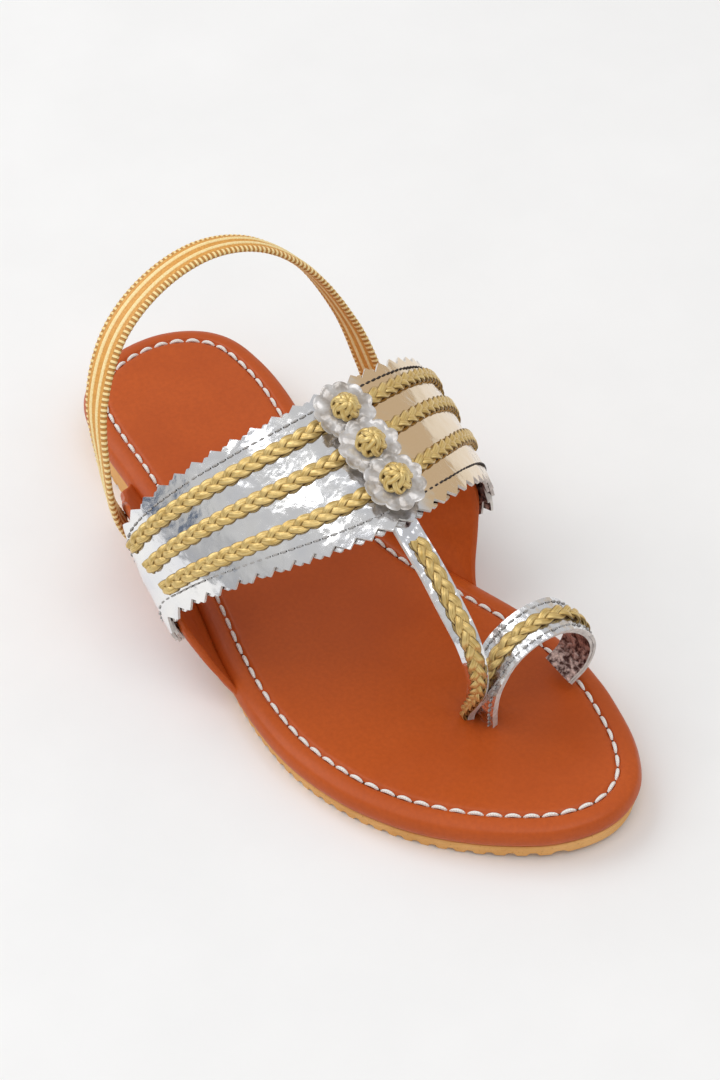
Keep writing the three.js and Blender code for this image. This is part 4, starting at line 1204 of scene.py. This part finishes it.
def build_camera():
    """The photograph's own viewpoint, turned to the one sandal and closer in."""
    up = CAMERA_RIGHT.cross(CAMERA_FORWARD)
    right_share = (PHOTO["sandal_x"] - PHOTO["width"] / 2) / PHOTO["focal"]
    up_share = (PHOTO["height"] / 2 - PHOTO["sandal_y"]) / PHOTO["focal"]
    forward = (CAMERA_FORWARD + CAMERA_RIGHT * right_share + up * up_share).normalized()
    right = (CAMERA_RIGHT - forward * CAMERA_RIGHT.dot(forward)).normalized()
    camera = add_object("camera", bpy.data.cameras.new("camera"))
    camera.data.sensor_width = SENSOR_MM
    camera.data.lens = SENSOR_MM * PHOTO["focal"] / PHOTO["height"] * CLOSER
    camera.data.clip_start = 0.05
    camera.matrix_world = Matrix.Translation(CAMERA_PLACE) @ Matrix(
        (right, right.cross(forward), -forward)
    ).transposed().to_4x4()
    bpy.context.scene.camera = camera


def build_world():
    """A pale studio round the sandal: a warm wall on one side and a small dark corner on the other."""
    world = bpy.data.worlds.new("studio")
    bpy.context.scene.world = world
    world.use_nodes = True
    tree = world.node_tree
    place = add_node(tree, "ShaderNodeTexCoord").outputs["Generated"]
    height = add_node(tree, "ShaderNodeSeparateXYZ", {0: place}).outputs["Z"]
    ramp = add_node(tree, "ShaderNodeValToRGB", {0: height})
    stops = ramp.color_ramp.elements
    stops[0].color, stops[1].color = STUDIO_ENDS
    for position, value in STUDIO_GREYS:
        stops.new(position).color = (value, value, value, 1)
    last = ramp.outputs["Color"]
    for toward, (from_dot, to_dot), colour in STUDIO_PATCHES:
        inputs = {0: place, 1: Vector(toward).normalized()}
        dot = add_node(tree, "ShaderNodeVectorMath", inputs, operation="DOT_PRODUCT").outputs["Value"]
        share = add_node(tree, "ShaderNodeMapRange", {0: dot, 1: from_dot, 2: to_dot}).outputs[0]
        last = add_node(tree, "ShaderNodeMix", {0: share, 6: last, 7: colour}, data_type="RGBA").outputs[2]
    background = tree.nodes["Background"]
    tree.links.new(last, background.inputs["Color"])
    background.inputs["Strength"].default_value = STUDIO_STRENGTH


def build_light(name, place, size, power):
    lamp = bpy.data.lights.new(name, "AREA")
    lamp.shape = "RECTANGLE"
    lamp.size, lamp.size_y = size
    lamp.energy = power
    light = add_object(name, lamp)
    light.location = place
    light.rotation_mode = "QUATERNION"
    light.rotation_quaternion = (LIGHT_TARGET - Vector(place)).to_track_quat("-Z", "Y")


build_camera()
build_world()
for light_row in LIGHTS:
    build_light(*light_row)
build_floor()
bpy.context.scene.view_settings.view_transform = "Standard"

build_outsole()
build_footbed()
build_footbed_stitches()
build_wing(LATERAL, "wing_lateral_leather", "wing_lateral")
build_wing(MEDIAL, "wing_medial_leather", "wing_medial")
build_band_layer("band_foil", ["upper"], 0.15, BAND["wall"] / 2, 0.0, 0.0, 1.0)
build_band_layer("band_backing", [], -BAND["wall"] / 2, -0.15, 0.45, -0.3, 0.3)
build_band_stitches()
for number, (row_name, row_places) in enumerate(BRAID_ROWS.items()):
    build_band_plait(row_name, number)
    build_rosette(row_name, row_places[-1], 40 + 5 * number)
    build_knot(row_name, row_places[-1], 0.9 * number, KNOT_SHARES[row_name])
build_thong()
build_loop()
build_heel_strap()
